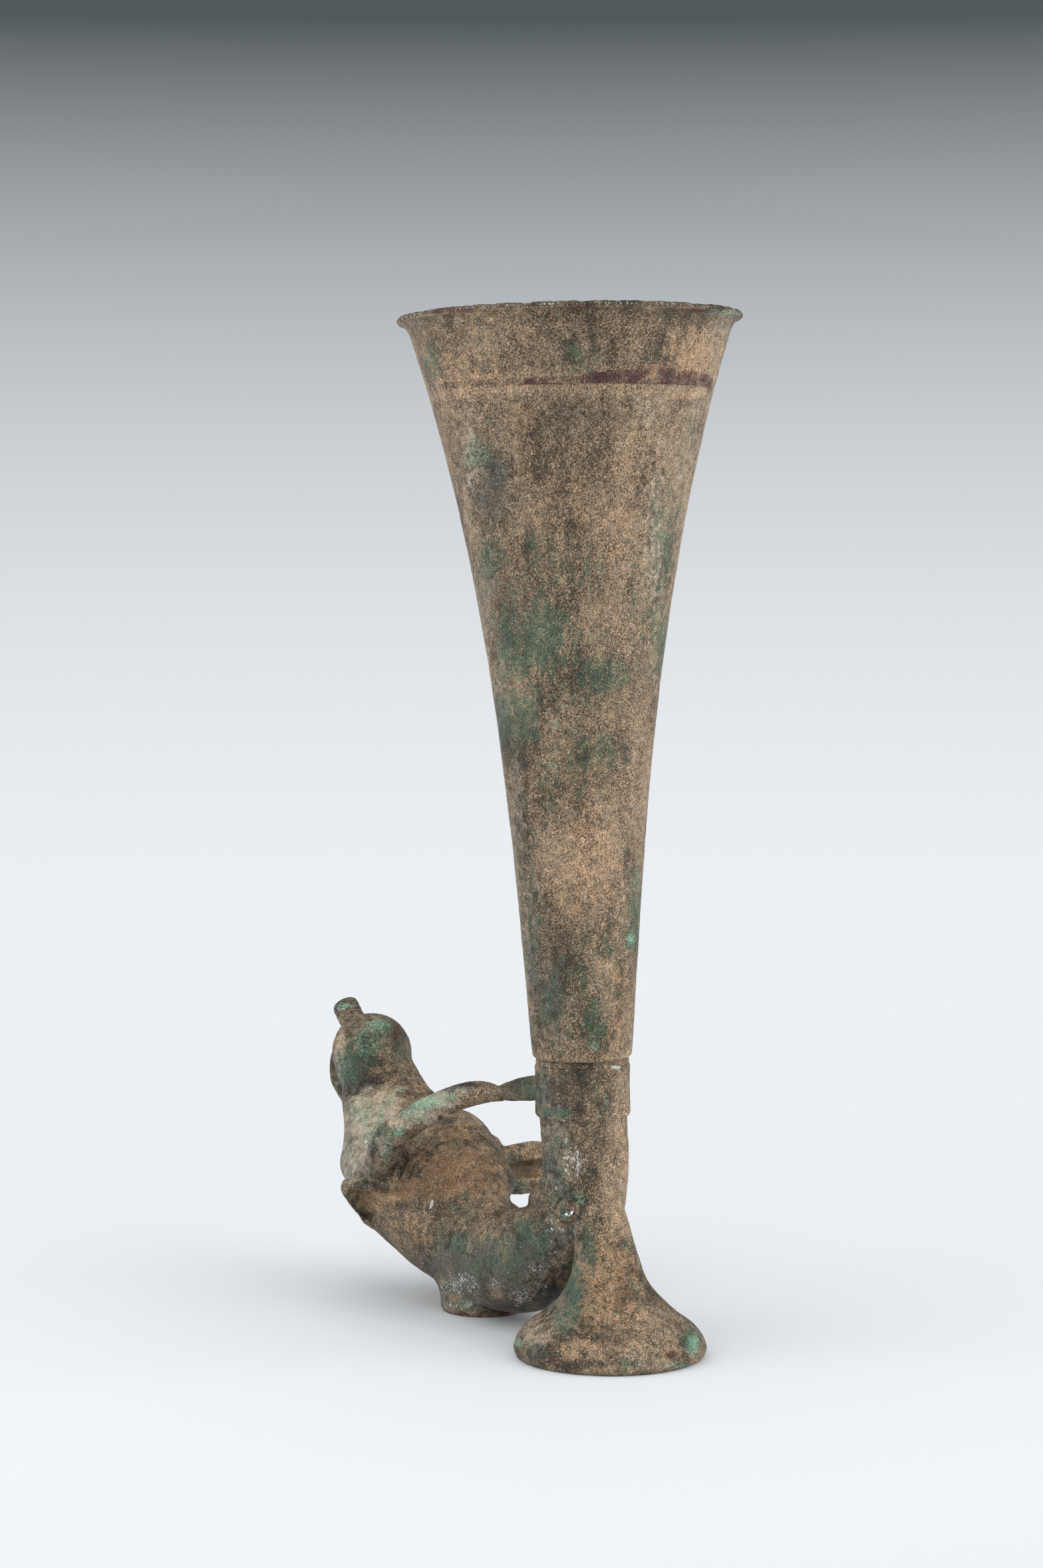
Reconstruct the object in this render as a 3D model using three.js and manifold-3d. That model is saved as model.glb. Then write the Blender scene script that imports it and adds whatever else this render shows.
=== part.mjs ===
// Bronze rhyton: a tall trumpet beaker whose stem bends into an animal's neck and upturned head.
// The head looks along +X, +Y is the animal's left and +Z is up. All sizes are millimetres.

import * as THREE from 'three';
import { mergeVertices } from 'three/addons/utils/BufferGeometryUtils.js';
import Module from 'manifold-3d';

const wasm = await Module();
wasm.setup();

// Joints
const solderGap = 0.3; // clearance between a piece and what it is soldered into
const seamHeight = 1.6; // open height of a soldered ring seam
const mortiseDepth = 1.3; // how deep ears and horns are let into the head
const cutPast = 1.0; // how far a cut runs past the face that it opens

// Collar that joins the beaker to the stem by their two spigots
const collarBase = 76.5; // height of the collar's lower face above the floor
const collarHeight = 17.5;
const collarWall = 2.8;
const collarRound = 1.5;
const spigotRadius = 12.6;
const spigotWall = 1.8;
const spigotSpacing = 5.0; // free length between the two spigot ends inside the collar
const solderWidth = 1.4; // width of the solder ring round the beaker's spigot
const collarRadius = spigotRadius + solderGap + collarWall;

// Beaker and mouth ring, heights measured along the beaker's axis
const beakerStep = 0.7; // how far the beaker's low edge stands out past the collar
const beakerLowRadius = collarRadius + beakerStep;
const beakerHeight = 218.6; // from the low edge to the mouth seam
const taperGain = 16.5; // radius gained by the straight taper up to the lip
const flareGain = 19.4; // radius gained by the trumpet flare up to the lip
const flarePower = 3;
const beakerWall = 2.0;
const beakerEdgeRound = 1.6;
const mouthHeight = 17.6; // from the mouth seam to the foot of the lip
const lipHeight = 5.6;
const lipOverhang = 4.2;
const lipCurl = 1.5; // how far out the lip's underside starts to turn
const lipThickness = 2.4;
const tongueLength = 6.0; // inner sleeve that carries the mouth ring in the beaker
const tongueWall = 1.2;
const leanForward = 0.8; // degrees the beaker leans towards the head
const leanLeft = 0.7; // degrees it leans to the animal's left

// Stem, neck and head along one spine: place of each section and its half sizes
const stemStep = 1.3; // how far the stem stands back behind the collar
const stemRadius = collarRadius - stemStep;
const stemLength = 23.0;
const elbow = { x: 11, z: 38.5, wide: 16.6, up: 16.4, down: 17.0 };
const throat = { x: 35, z: 23.2, wide: 18.8, up: 18.4, down: 18.2 };
const chest = { x: 62, z: 22.2, wide: 20.0, up: 20.0, down: 19.0 };
const nape = { x: 83.5, z: 30.8, wide: 24.0, up: 24.4, down: 24.2 };
const brow = { x: 102.4, z: 40.6, wide: 28.0, up: 23.0, down: 26.0 };
const snout = { x: 121, z: 51.5, wide: 23.0, up: 19.2, down: 21.6 };
const bridge = { x: 135, z: 64.5, wide: 17.0, up: 14.4, down: 17.6 };
const muzzle = { x: 146, z: 78.6, wide: 15.3, up: 14.6, along: 15.2 };
const muzzleBlend = 0.85; // share of the bridge's half sizes left where the skin ends inside the muzzle
const bodyWall = 2.6;
const hollowStart = 0.25; // spine section at which the hollow begins, counted from the stem's top
const headSplit = 4.5; // spine section at which the head begins
const headLap = 0.25; // sections that the neck's tongue reaches into the head

// Flat stump under the chest, closed by a disc
const stumpForward = 3; // how far the stump stands in front of the chest's middle
const stumpX = chest.x + stumpForward;
const stumpRadius = 14.6;
const stumpHeight = 12;
const stumpFlareFrom = 5.4; // height at which the stump starts to widen into the chest
const stumpFlare = 1.0;
const discThickness = 1.8;
const coreHoleRadius = 6.5;

// Pouring spout in the muzzle
const spoutTilt = 42; // degrees above the horizon
const spoutRadius = 4.4;
const spoutWall = 1.3;
const spoutLength = 10.6; // length outside the muzzle
const spoutInside = 1.2; // length inside the muzzle's wall

// Bell foot: centre line offset from the stem and outline
const footOffset = -16.5;
const footRadius = 31.6;
const footRound = 1.0; // how far the edge draws in where it meets the floor
const footWidestHeight = 2.8;
const footLipHeight = 8.0;
const footLipFall = 2.4; // how far the outline has drawn in at the lip's top
const footFlareHeight = 14.0;
const footFlareShare = 0.44; // share of the way from the rim to the neck at that height
const footWaistHeight = 23.0;
const footWaistSpread = 3.8; // how much wider than the neck the waist still is
const footNeckOffset = -13.6;
const footNeckRadius = 9.8;
const footNeckHeight = 36.0;
const footTopOffset = -4.0;
const footTopRadius = 9.6;
const footTopHeight = 54.0;
const footWall = 3.2;
const footHollow = 20.0; // height of the hollow under the bell

// Ears on the sides of the brow
const earSection = 5.85; // spine section of the root
const leftEar = { side: 1, angle: -5, reach: 9.6 }; // angle in degrees above the head's widest place
const rightEar = { side: -1, angle: 2, reach: 18.0 };
const earHalfHeight = 8.8;
const earHalfThickness = 4.0;
const earCup = 2.4; // half depth of the hollow in the ear's back
const earCupReach = 0.42; // half length of the hollow as a share of the ear's reach
const earCupHeight = 0.7; // its half height as a share of the ear's
const earLeaf = [ // outline from root to tip, as shares of the reach and the half sizes
  { reach: 0, height: 0.86, thickness: 1.0 },
  { reach: 0.3, height: 1.0, thickness: 0.95 },
  { reach: 0.6, height: 0.84, thickness: 0.75 },
  { reach: 0.85, height: 0.5, thickness: 0.5 },
  { reach: 1, height: 0.16, thickness: 0.22 },
];

// Horns: the left one arches back to the collar, the right one is a broken root
const hornSection = 6.05;
const hornAngle = 24; // degrees above the widest point of the head
const hornRootRadius = 6.6;
const hornMidRadius = 5.4;
const hornTipRadius = 3.7;
const hornShoulder = { x: 77, y: 19.5, z: 67 };
const hornCrown = { x: 55, y: 15.8, z: 77.0 };
const tieHeight = 8.6; // where the tie meets the collar, above the collar's lower face
const tieAngle = 30; // degrees from the head towards the animal's left
const tieLength = 19.0;
const tieSplay = 3.0; // how far its far end lies to the animal's left of its root
const tieDrop = 4.2; // how far the tie falls from the collar to the horn's tip
const tieRootRadius = 4.2;
const tieTipRadius = 3.2;
const tiePegRadius = 1.5;
const tiePegLength = 3.0;
const rootStump = { back: 3, rise: 1, radius: 4.4 };

// Iron core pin that crossed the stem's bend and left a stub in each wall
const pinRadius = 2.5;
const pinPlace = { x: -1, y: 3.2, z: 43.8 };
const pinHeading = -31; // degrees from the head's direction
const pinFall = 10.7; // degrees below the horizon
const pinReachNear = 26; // from the hollow out past the near wall
const pinReachFar = 52; // and past the far wall
const pinInset = 0.1; // the stubs end just under the surface

// Facets
const vesselPoints = 40;
const bodyPoints = 22;
const footPoints = 30;
const barPoints = 12;
const stepsPerSection = 3;
const hornSteps = 16;
const tieSteps = 6;
const rootSteps = 5;
const footSteps = 15;

const degrees = THREE.MathUtils.degToRad;
const leftward = new THREE.Vector3(0, 1, 0);
const upward = new THREE.Vector3(0, 0, 1);
const asVector = ({ x, y, z }) => new THREE.Vector3(x, y, z);

// Solids and meshes

function signedVolume(position, index) {
  const corners = [new THREE.Vector3(), new THREE.Vector3(), new THREE.Vector3()];
  let sum = 0;
  for (let i = 0; i < index.length; i += 3) {
    corners.forEach((corner, k) => corner.fromBufferAttribute(position, index[i + k]));
    sum += corners[0].dot(corners[1].cross(corners[2])) / 6;
  }
  return sum;
}

function toSolid(geometry) {
  const bare = geometry.clone();
  bare.deleteAttribute('normal');
  bare.deleteAttribute('uv');
  const merged = mergeVertices(bare, 1e-4);
  const source = merged.index.array;
  const kept = [];
  for (let i = 0; i < source.length; i += 3) {
    const [a, b, c] = [source[i], source[i + 1], source[i + 2]];
    if (a !== b && b !== c && c !== a) {
      kept.push(a, b, c);
    }
  }
  if (signedVolume(merged.attributes.position, kept) < 0) {
    kept.reverse();
  }
  const vertProperties = Float32Array.from(merged.attributes.position.array);
  const triVerts = Uint32Array.from(kept);
  return new wasm.Manifold(new wasm.Mesh({ numProp: 3, vertProperties, triVerts }));
}

function toGeometry(solid) {
  const { vertProperties, triVerts } = solid.getMesh();
  const geometry = new THREE.BufferGeometry();
  geometry.setAttribute('position', new THREE.BufferAttribute(Float32Array.from(vertProperties), 3));
  geometry.setIndex(new THREE.BufferAttribute(Uint32Array.from(triVerts), 1));
  geometry.computeVertexNormals();
  return geometry;
}

function toMesh(name, solid, finish) {
  const mesh = new THREE.Mesh(toGeometry(solid), new THREE.MeshStandardMaterial(finish));
  mesh.name = name;
  return mesh;
}

// Turns a closed outline of [radius, height] points about the Z axis.
function turned(outline, count) {
  const points = outline.map(([radius, height]) => new THREE.Vector2(radius, height));
  points.push(points[0].clone());
  return toSolid(new THREE.LatheGeometry(points, count).rotateX(Math.PI / 2));
}

function rod(radius, start, end) {
  const axis = end.clone().sub(start);
  const geometry = new THREE.CylinderGeometry(radius, radius, axis.length(), barPoints * 2);
  const turn = new THREE.Quaternion().setFromUnitVectors(leftward, axis.clone().normalize());
  const middle = start.clone().lerp(end, 0.5);
  return toSolid(geometry.applyQuaternion(turn).translate(middle.x, middle.y, middle.z));
}

function middleOf(ring) {
  return ring.reduce((sum, point) => sum.add(point), new THREE.Vector3()).divideScalar(ring.length);
}

// Joins rings of points into one skin with flat ends.
function loft(rings) {
  const around = rings[0].length;
  const points = rings.flat();
  const firstMiddle = points.length;
  const lastStart = firstMiddle - around;
  points.push(middleOf(rings[0]), middleOf(rings.at(-1)));
  const index = [];
  for (let j = 0; j < around; j += 1) {
    const next = (j + 1) % around;
    index.push(firstMiddle, next, j);
    index.push(firstMiddle + 1, lastStart + j, lastStart + next);
    for (let i = 0; i < lastStart; i += around) {
      index.push(i + j, i + next, i + next + around);
      index.push(i + j, i + next + around, i + j + around);
    }
  }
  const geometry = new THREE.BufferGeometry().setFromPoints(points);
  geometry.setIndex(index);
  return toSolid(geometry);
}

// A ring of half width wide, high above its centre and low below it.
function ellipseRing(centre, side, up, wide, high, low, count) {
  return Array.from({ length: count }, (_, j) => {
    const angle = (j / count) * Math.PI * 2;
    const rise = Math.sin(angle) * (Math.sin(angle) > 0 ? high : low);
    return centre.clone().addScaledVector(side, Math.cos(angle) * wide).addScaledVector(up, rise);
  });
}

function roundRing(centre, along, radius, count) {
  const side = leftward.clone().addScaledVector(along, -leftward.dot(along)).normalize();
  const up = new THREE.Vector3().crossVectors(along, side);
  return ellipseRing(centre, side, up, radius, radius, radius, count);
}

// A round bar along a curve whose radius runs through the given radii.
function taperedBar(points, radii, steps) {
  const path = new THREE.CatmullRomCurve3(points);
  const girths = new THREE.CatmullRomCurve3(radii.map((radius) => new THREE.Vector3(radius, 0, 0)));
  const rings = [];
  for (let i = 0; i <= steps; i += 1) {
    const at = i / steps;
    rings.push(roundRing(path.getPoint(at), path.getTangent(at), girths.getPoint(at).x, barPoints));
  }
  return loft(rings);
}

// Frame of the leaning beaker: its origin is on the collar's lower face
const vessel = new THREE.Group();
vessel.position.set(0, 0, collarBase);
vessel.rotation.set(-degrees(leanLeft), degrees(leanForward), 0);
vessel.updateMatrixWorld();
const toVessel = vessel.matrixWorld.clone().invert();
const onAxis = (height) => upward.clone().multiplyScalar(height).applyMatrix4(vessel.matrixWorld);

// Mouth ring, beaker and the solder in their seams

const spigotReach = (collarHeight - spigotSpacing) / 2;
const spigotBore = spigotRadius - spigotWall;
const beakerLow = collarHeight + seamHeight; // height of the beaker's low edge in the vessel's frame
const hornHeight = beakerHeight + seamHeight + mouthHeight;
const ringLow = beakerHeight + seamHeight;

function wallRadius(height) {
  const share = height / hornHeight;
  return beakerLowRadius + taperGain * share + flareGain * share ** flarePower;
}

function wallLine(from, to, inset, steps) {
  return Array.from({ length: steps + 1 }, (_, i) => {
    const height = from + ((to - from) * i) / steps;
    return [wallRadius(height) - inset, height];
  });
}

// A rounded lower edge that starts at height 0 and ends upright at the given radius.
function lowEdge(radius, round, steps) {
  return Array.from({ length: steps + 1 }, (_, i) => {
    const angle = (i / steps) * (Math.PI / 2);
    return [radius - round * (1 - Math.sin(angle)), round * (1 - Math.cos(angle))];
  });
}

function beakerSolid() {
  const boreBlend = spigotReach + seamHeight;
  return turned([
    [spigotRadius, -boreBlend],
    [spigotRadius, 0],
    ...lowEdge(wallRadius(beakerEdgeRound), beakerEdgeRound, 2),
    ...wallLine(beakerEdgeRound * 2, beakerHeight, 0, 9),
    ...wallLine(beakerHeight, boreBlend * 2, beakerWall, 7),
    [spigotBore, 0],
    [spigotBore, -boreBlend],
  ], vesselPoints);
}

function mouthRingSolid() {
  const lipFoot = wallRadius(hornHeight);
  const lipTop = hornHeight + lipHeight;
  const lipEdge = lipFoot + lipOverhang;
  const underside = new THREE.QuadraticBezierCurve(
    new THREE.Vector2(lipFoot, hornHeight),
    new THREE.Vector2(lipFoot + lipCurl, lipTop - lipThickness),
    new THREE.Vector2(lipEdge - lipThickness / 4, lipTop - lipThickness),
  );
  const inside = new THREE.QuadraticBezierCurve(
    new THREE.Vector2(lipEdge - lipThickness / 2, lipTop),
    new THREE.Vector2(lipFoot - beakerWall / 2, lipTop - lipThickness / 2),
    new THREE.Vector2(lipFoot - beakerWall, hornHeight),
  );
  const asPairs = (curve, steps) => curve.getPoints(steps).map((point) => [point.x, point.y]);
  const sleeve = beakerWall + solderGap;
  const tongueLow = beakerHeight - tongueLength;
  return turned([
    ...wallLine(tongueLow, ringLow, sleeve, 1),
    ...wallLine(ringLow, hornHeight, 0, 3).slice(0, -1),
    ...asPairs(underside, 3),
    [lipEdge, lipTop - lipThickness / 2],
    ...asPairs(inside, 3),
    ...wallLine(hornHeight, ringLow + tongueLength, beakerWall, 2).slice(1),
    ...wallLine(ringLow, tongueLow, sleeve + tongueWall, 1),
  ], vesselPoints);
}

function seamSolderSolid() {
  const low = beakerHeight + solderGap;
  const high = ringLow - solderGap;
  const inner = wallRadius(high) - beakerWall;
  return turned([
    [inner, low],
    [wallRadius(low), low],
    [wallRadius(high), high],
    [inner, high],
  ], vesselPoints);
}

function collarSolderSolid() {
  const low = collarHeight + solderGap;
  const high = beakerLow - solderGap;
  const inner = spigotRadius + solderGap;
  const outer = inner + solderWidth;
  return turned([[inner, low], [outer, low], [outer, high], [inner, high]], bodyPoints);
}

function collarSolid(tiePeg) {
  const bore = spigotRadius + solderGap;
  const sleeve = turned([
    [bore, 0],
    ...lowEdge(collarRadius, collarRound, 3),
    [collarRadius, collarHeight - collarRound / 2],
    [collarRadius - collarRound / 2, collarHeight],
    [bore, collarHeight],
  ], vesselPoints);
  return sleeve.subtract(tiePeg);
}

// Spine of stem, neck and head

const sections = [elbow, throat, chest, nape, brow, snout, bridge];
const spine = new THREE.CatmullRomCurve3([
  onAxis(-solderGap),
  onAxis(-stemLength),
  ...sections.map(({ x, z }) => new THREE.Vector3(x, 0, z)),
  new THREE.Vector3(muzzle.x, 0, muzzle.z),
]);
const stemGirth = new THREE.Vector3(stemRadius, stemRadius, stemRadius);
const asGirth = ({ wide, up, down }) => new THREE.Vector3(wide, up, down);
const girth = new THREE.CatmullRomCurve3([
  stemGirth,
  stemGirth.clone(),
  ...sections.map(asGirth),
  asGirth(bridge).multiplyScalar(muzzleBlend),
]);
const lastSection = spine.points.length - 1;

// Place, directions and half sizes of a section, which need not be a whole number.
function spineFrame(section) {
  const at = section / lastSection;
  const centre = spine.getPoint(at);
  const along = spine.getTangent(at);
  const side = leftward.clone().addScaledVector(along, -leftward.dot(along)).normalize();
  const up = new THREE.Vector3().crossVectors(along, side);
  return { centre, along, side, up, half: girth.getPoint(at) };
}

// The skin from one section to another, moved outwards by grow.
function bodySolid(from, to, grow) {
  const steps = Math.round((to - from) * stepsPerSection);
  const rings = [];
  for (let i = 0; i <= steps; i += 1) {
    const { centre, side, up, half } = spineFrame(from + ((to - from) * i) / steps);
    rings.push(ellipseRing(centre, side, up, half.x + grow, half.y + grow, half.z + grow, bodyPoints));
  }
  return loft(rings);
}

// A point on the head's left side, angle degrees above its widest place.
function headPoint(section, angle, grow) {
  const { centre, side, up, half } = spineFrame(section);
  const turn = degrees(angle);
  const rise = Math.sin(turn) * ((turn > 0 ? half.y : half.z) + grow);
  return centre.addScaledVector(side, Math.cos(turn) * (half.x + grow)).addScaledVector(up, rise);
}

const muzzleHeading = spineFrame(lastSection).along;

function muzzleSolid(grow) {
  const ball = new THREE.SphereGeometry(1, bodyPoints, bodyPoints / 2);
  ball.scale(muzzle.along + grow, muzzle.wide + grow, muzzle.up + grow);
  ball.rotateY(-Math.atan2(muzzleHeading.z, muzzleHeading.x));
  return toSolid(ball.translate(muzzle.x, 0, muzzle.z));
}

function headSolid(grow, from = headSplit) {
  return bodySolid(from, lastSection, grow).add(muzzleSolid(grow));
}

const wholeSkin = (grow) => bodySolid(0, lastSection, grow);
const tongueInset = bodyWall / 2;
const seamSections = solderGap / (nape.x - chest.x); // the head seam's gap counted in sections

// Pouring spout, made along Z and turned into the muzzle

const spoutGroup = new THREE.Group();
spoutGroup.position.set(muzzle.x, 0, muzzle.z);
spoutGroup.rotation.set(0, degrees(90 - spoutTilt), 0);
spoutGroup.updateMatrixWorld();
const spoutLow = muzzle.along - bodyWall - spoutInside;
const spoutHigh = muzzle.along + spoutLength;

function spoutSolid() {
  const spoutBore = spoutRadius - spoutWall;
  const rimRound = spoutWall / 3;
  return turned([
    [spoutBore, spoutLow],
    [spoutRadius, spoutLow],
    [spoutRadius, spoutHigh - rimRound],
    [spoutRadius - rimRound, spoutHigh],
    [spoutBore + rimRound, spoutHigh],
    [spoutBore, spoutHigh - rimRound],
  ], barPoints * 2);
}

function spoutSeat() {
  const end = upward.clone().multiplyScalar(spoutHigh).applyMatrix4(spoutGroup.matrixWorld);
  return rod(spoutRadius + solderGap, spoutGroup.position, end);
}

// Ears: leaf-shaped cups that stand out sideways from the brow

function earBlank({ side: mirror, angle, reach: earReach }, grow) {
  const root = headPoint(earSection, angle, -bodyWall);
  const outward = headPoint(earSection, angle, 0).sub(root).normalize();
  const back = new THREE.Vector3(-1, 0, 0).addScaledVector(outward, outward.x).normalize();
  const tall = new THREE.Vector3().crossVectors(outward, back);
  const rings = earLeaf.map(({ reach, height, thickness }) => {
    const centre = root.clone().addScaledVector(outward, reach * (earReach + bodyWall));
    centre.y *= mirror;
    const side = new THREE.Vector3(back.x, back.y * mirror, back.z);
    const up = new THREE.Vector3(tall.x, tall.y * mirror, tall.z);
    const thick = earHalfThickness * thickness + grow;
    const high = earHalfHeight * height + grow;
    return ellipseRing(centre, side, up, thick, high, high, barPoints);
  });
  return loft(rings);
}

function earSolid(ear) {
  const middle = headPoint(earSection, ear.angle, ear.reach / 2);
  const cup = new THREE.SphereGeometry(1, barPoints, barPoints / 2);
  cup.scale(earCup * 2, ear.reach * earCupReach, earHalfHeight * earCupHeight);
  cup.translate(middle.x - earHalfThickness - earCup / 2, middle.y * ear.side, middle.z);
  return earBlank(ear, 0).subtract(toSolid(cup)).subtract(headSolid(-mortiseDepth));
}

// Horns and the tie to the collar

const tieOut = new THREE.Vector3(Math.cos(degrees(tieAngle)), Math.sin(degrees(tieAngle)), 0);
const tieRoot = onAxis(tieHeight).addScaledVector(tieOut, collarRadius + solderGap);
const tieTip = tieRoot.clone().add(new THREE.Vector3(tieLength, tieSplay, -tieDrop));
const tieHeading = tieTip.clone().sub(tieRoot).normalize();
const hornTip = tieTip.clone().addScaledVector(tieHeading, solderGap);
const hornRoot = headPoint(hornSection, hornAngle, -bodyWall);

function hornBlank(grow) {
  const points = [hornRoot, asVector(hornShoulder), asVector(hornCrown), hornTip];
  const radii = [hornRootRadius, (hornRootRadius + hornMidRadius) / 2, hornMidRadius, hornTipRadius];
  return taperedBar(points, radii.map((radius) => radius + grow), hornSteps);
}

// Peg of the tie in the horn's tip; it starts inside the tie.
function hornPeg(grow) {
  const end = tieTip.clone().addScaledVector(tieHeading, tiePegLength + grow);
  return rod(tiePegRadius + grow, tieTip.clone().addScaledVector(tieHeading, -cutPast), end);
}

// Peg of the tie in the collar, half way through its wall.
function collarPeg(grow) {
  const end = tieRoot.clone().addScaledVector(tieOut, -collarWall / 2 - solderGap - grow);
  return rod(tiePegRadius + grow, tieRoot.clone().addScaledVector(tieOut, cutPast), end);
}

function tieSolid() {
  const start = tieRoot.clone().addScaledVector(tieHeading, -tieRootRadius);
  const middle = tieRoot.clone().lerp(tieTip, 0.5);
  const radii = [tieRootRadius, tieRootRadius, tieTipRadius];
  const bar = taperedBar([start, middle, tieTip], radii, tieSteps);
  const seat = rod(collarRadius + solderGap, onAxis(0), onAxis(collarHeight));
  return bar.subtract(seat).add(collarPeg(0)).add(hornPeg(0));
}

function hornSolid() {
  return hornBlank(0)
    .subtract(headSolid(-mortiseDepth))
    .subtract(earBlank(leftEar, solderGap))
    .subtract(hornPeg(solderGap));
}

function rootStumpBlank(grow) {
  const root = hornRoot.clone();
  root.y *= -1;
  const end = headPoint(hornSection, hornAngle, 0);
  end.x -= rootStump.back;
  end.y *= -1;
  end.z += rootStump.rise;
  const radii = [hornRootRadius, (hornRootRadius + rootStump.radius) / 2, rootStump.radius];
  const middle = root.clone().lerp(end, 0.5);
  return taperedBar([root, middle, end], radii.map((radius) => radius + grow), rootSteps);
}

function rootStumpSolid() {
  return rootStumpBlank(0)
    .subtract(headSolid(-mortiseDepth))
    .subtract(earBlank(rightEar, solderGap));
}

// Neck with its spigot, core hole and pin holes

const pinStart = asVector(pinPlace);
const pinAxis = new THREE.Vector3(
  Math.cos(degrees(pinHeading)) * Math.cos(degrees(pinFall)),
  Math.sin(degrees(pinHeading)) * Math.cos(degrees(pinFall)),
  -Math.sin(degrees(pinFall)),
);

const pinNear = pinStart.clone().addScaledVector(pinAxis, -pinReachNear);
const pinFar = pinStart.clone().addScaledVector(pinAxis, pinReachFar);

function pinStub(end) {
  const shell = wholeSkin(-pinInset).subtract(wholeSkin(-bodyWall));
  return rod(pinRadius, pinStart, end).intersect(shell);
}

const discTop = discThickness + solderGap;

function stumpSolid() {
  const levels = [
    { height: discTop, radius: stumpRadius },
    { height: stumpFlareFrom, radius: stumpRadius },
    { height: stumpHeight, radius: stumpRadius + stumpFlare },
  ];
  const rings = levels.map(({ height, radius }) => {
    return roundRing(new THREE.Vector3(stumpX, 0, height), upward, radius, bodyPoints);
  });
  return loft(rings);
}

// Everything under the stump's lower face, which the disc closes.
function belowDisc() {
  const block = new THREE.BoxGeometry(chest.wide * 8, chest.wide * 4, chest.down * 2);
  return toSolid(block.translate(stumpX, 0, discTop - chest.down));
}

function neckSolid() {
  const spigot = rod(spigotRadius, onAxis(-bodyWall), onAxis(spigotReach));
  const tongue = bodySolid(headSplit - headLap, headSplit + headLap, -tongueInset);
  const bore = rod(spigotBore, onAxis(-stemLength / 2), onAxis(spigotReach + cutPast));
  const hollow = bodySolid(hollowStart, headSplit + headLap * 2, -bodyWall);
  const stumpFoot = new THREE.Vector3(stumpX, 0, 0);
  const coreHole = rod(coreHoleRadius, stumpFoot, new THREE.Vector3(stumpX, 0, chest.z));
  return bodySolid(0, headSplit, 0)
    .add(spigot)
    .add(stumpSolid())
    .subtract(belowDisc())
    .add(tongue)
    .subtract(hollow)
    .subtract(bore)
    .subtract(coreHole)
    .subtract(rod(pinRadius + solderGap, pinNear, pinFar));
}

function closingDiscSolid() {
  const boss = coreHoleRadius - solderGap;
  return turned([
    [0, 0],
    [stumpRadius, 0],
    [stumpRadius, discThickness],
    [boss, discThickness],
    [boss, discThickness * 2],
    [0, discThickness * 2],
  ], bodyPoints);
}

function headShellSolid() {
  const headStart = headSplit + seamSections;
  const mortises = earBlank(leftEar, solderGap)
    .add(earBlank(rightEar, solderGap))
    .add(hornBlank(solderGap))
    .add(rootStumpBlank(solderGap))
    .subtract(headSolid(-mortiseDepth - solderGap));
  const socket = bodySolid(headSplit - headLap, headStart + headLap, solderGap - tongueInset);
  return headSolid(0, headStart)
    .subtract(mortises)
    .subtract(socket)
    .subtract(headSolid(-bodyWall, headSplit - headLap))
    .subtract(spoutSeat());
}

// Bell foot, leaning up to the stem and cut to its skin

function footLevel(radius, offset, height) {
  return new THREE.Vector3(radius, offset, height);
}

function footRings(inset, top) {
  const flareRadius = THREE.MathUtils.lerp(footRadius, footNeckRadius, footFlareShare);
  const waistOffset = THREE.MathUtils.lerp(footOffset, footNeckOffset, 1 / 4);
  const outline = new THREE.CatmullRomCurve3([
    footLevel(footRadius - footRound, footOffset, 0),
    footLevel(footRadius, footOffset, footWidestHeight),
    footLevel(footRadius - footLipFall, footOffset, footLipHeight),
    footLevel(flareRadius, footOffset, footFlareHeight),
    footLevel(footNeckRadius + footWaistSpread, waistOffset, footWaistHeight),
    footLevel(footNeckRadius, footNeckOffset, footNeckHeight),
    footLevel(footTopRadius, footTopOffset, footTopHeight),
  ]);
  const levels = outline.getPoints(footSteps).filter((level) => level.z <= top);
  return levels.map(({ x: radius, y: offset, z: height }) => {
    return roundRing(new THREE.Vector3(offset, 0, height), upward, radius - inset, footPoints);
  });
}

function footSolid() {
  const hollowRings = footRings(footWall, footHollow);
  const mouth = new THREE.Vector3(footOffset, 0, -cutPast);
  hollowRings.unshift(roundRing(mouth, upward, footRadius - footRound - footWall, footPoints));
  return loft(footRings(0, footTopHeight)).subtract(loft(hollowRings)).subtract(wholeSkin(solderGap));
}

// Finishes

const patina = { color: '#7d6a50', roughness: 0.85, metalness: 0.3 };
const greenPatina = { color: '#5d6a54', roughness: 0.85, metalness: 0.3 };
const solder = { color: '#5a4640', roughness: 0.8, metalness: 0.4 };
const rust = { color: '#5b3a2c', roughness: 0.95, metalness: 0.1 };

// Assembly

vessel.add(
  toMesh('mouth_ring', mouthRingSolid(), patina),
  toMesh('seam_solder', seamSolderSolid(), solder),
  toMesh('beaker', beakerSolid(), patina),
);
vessel.children.forEach((mesh) => mesh.position.set(0, 0, beakerLow));
const pegInVessel = toSolid(toGeometry(collarPeg(solderGap)).applyMatrix4(toVessel));
vessel.add(
  toMesh('collar_solder', collarSolderSolid(), solder),
  toMesh('joint_collar', collarSolid(pegInVessel), patina),
);

spoutGroup.add(toMesh('spout_tube', spoutSolid(), greenPatina));

const closingDisc = toMesh('chest_closing_disc', closingDiscSolid(), patina);
closingDisc.position.set(stumpX, 0, 0);

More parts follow.
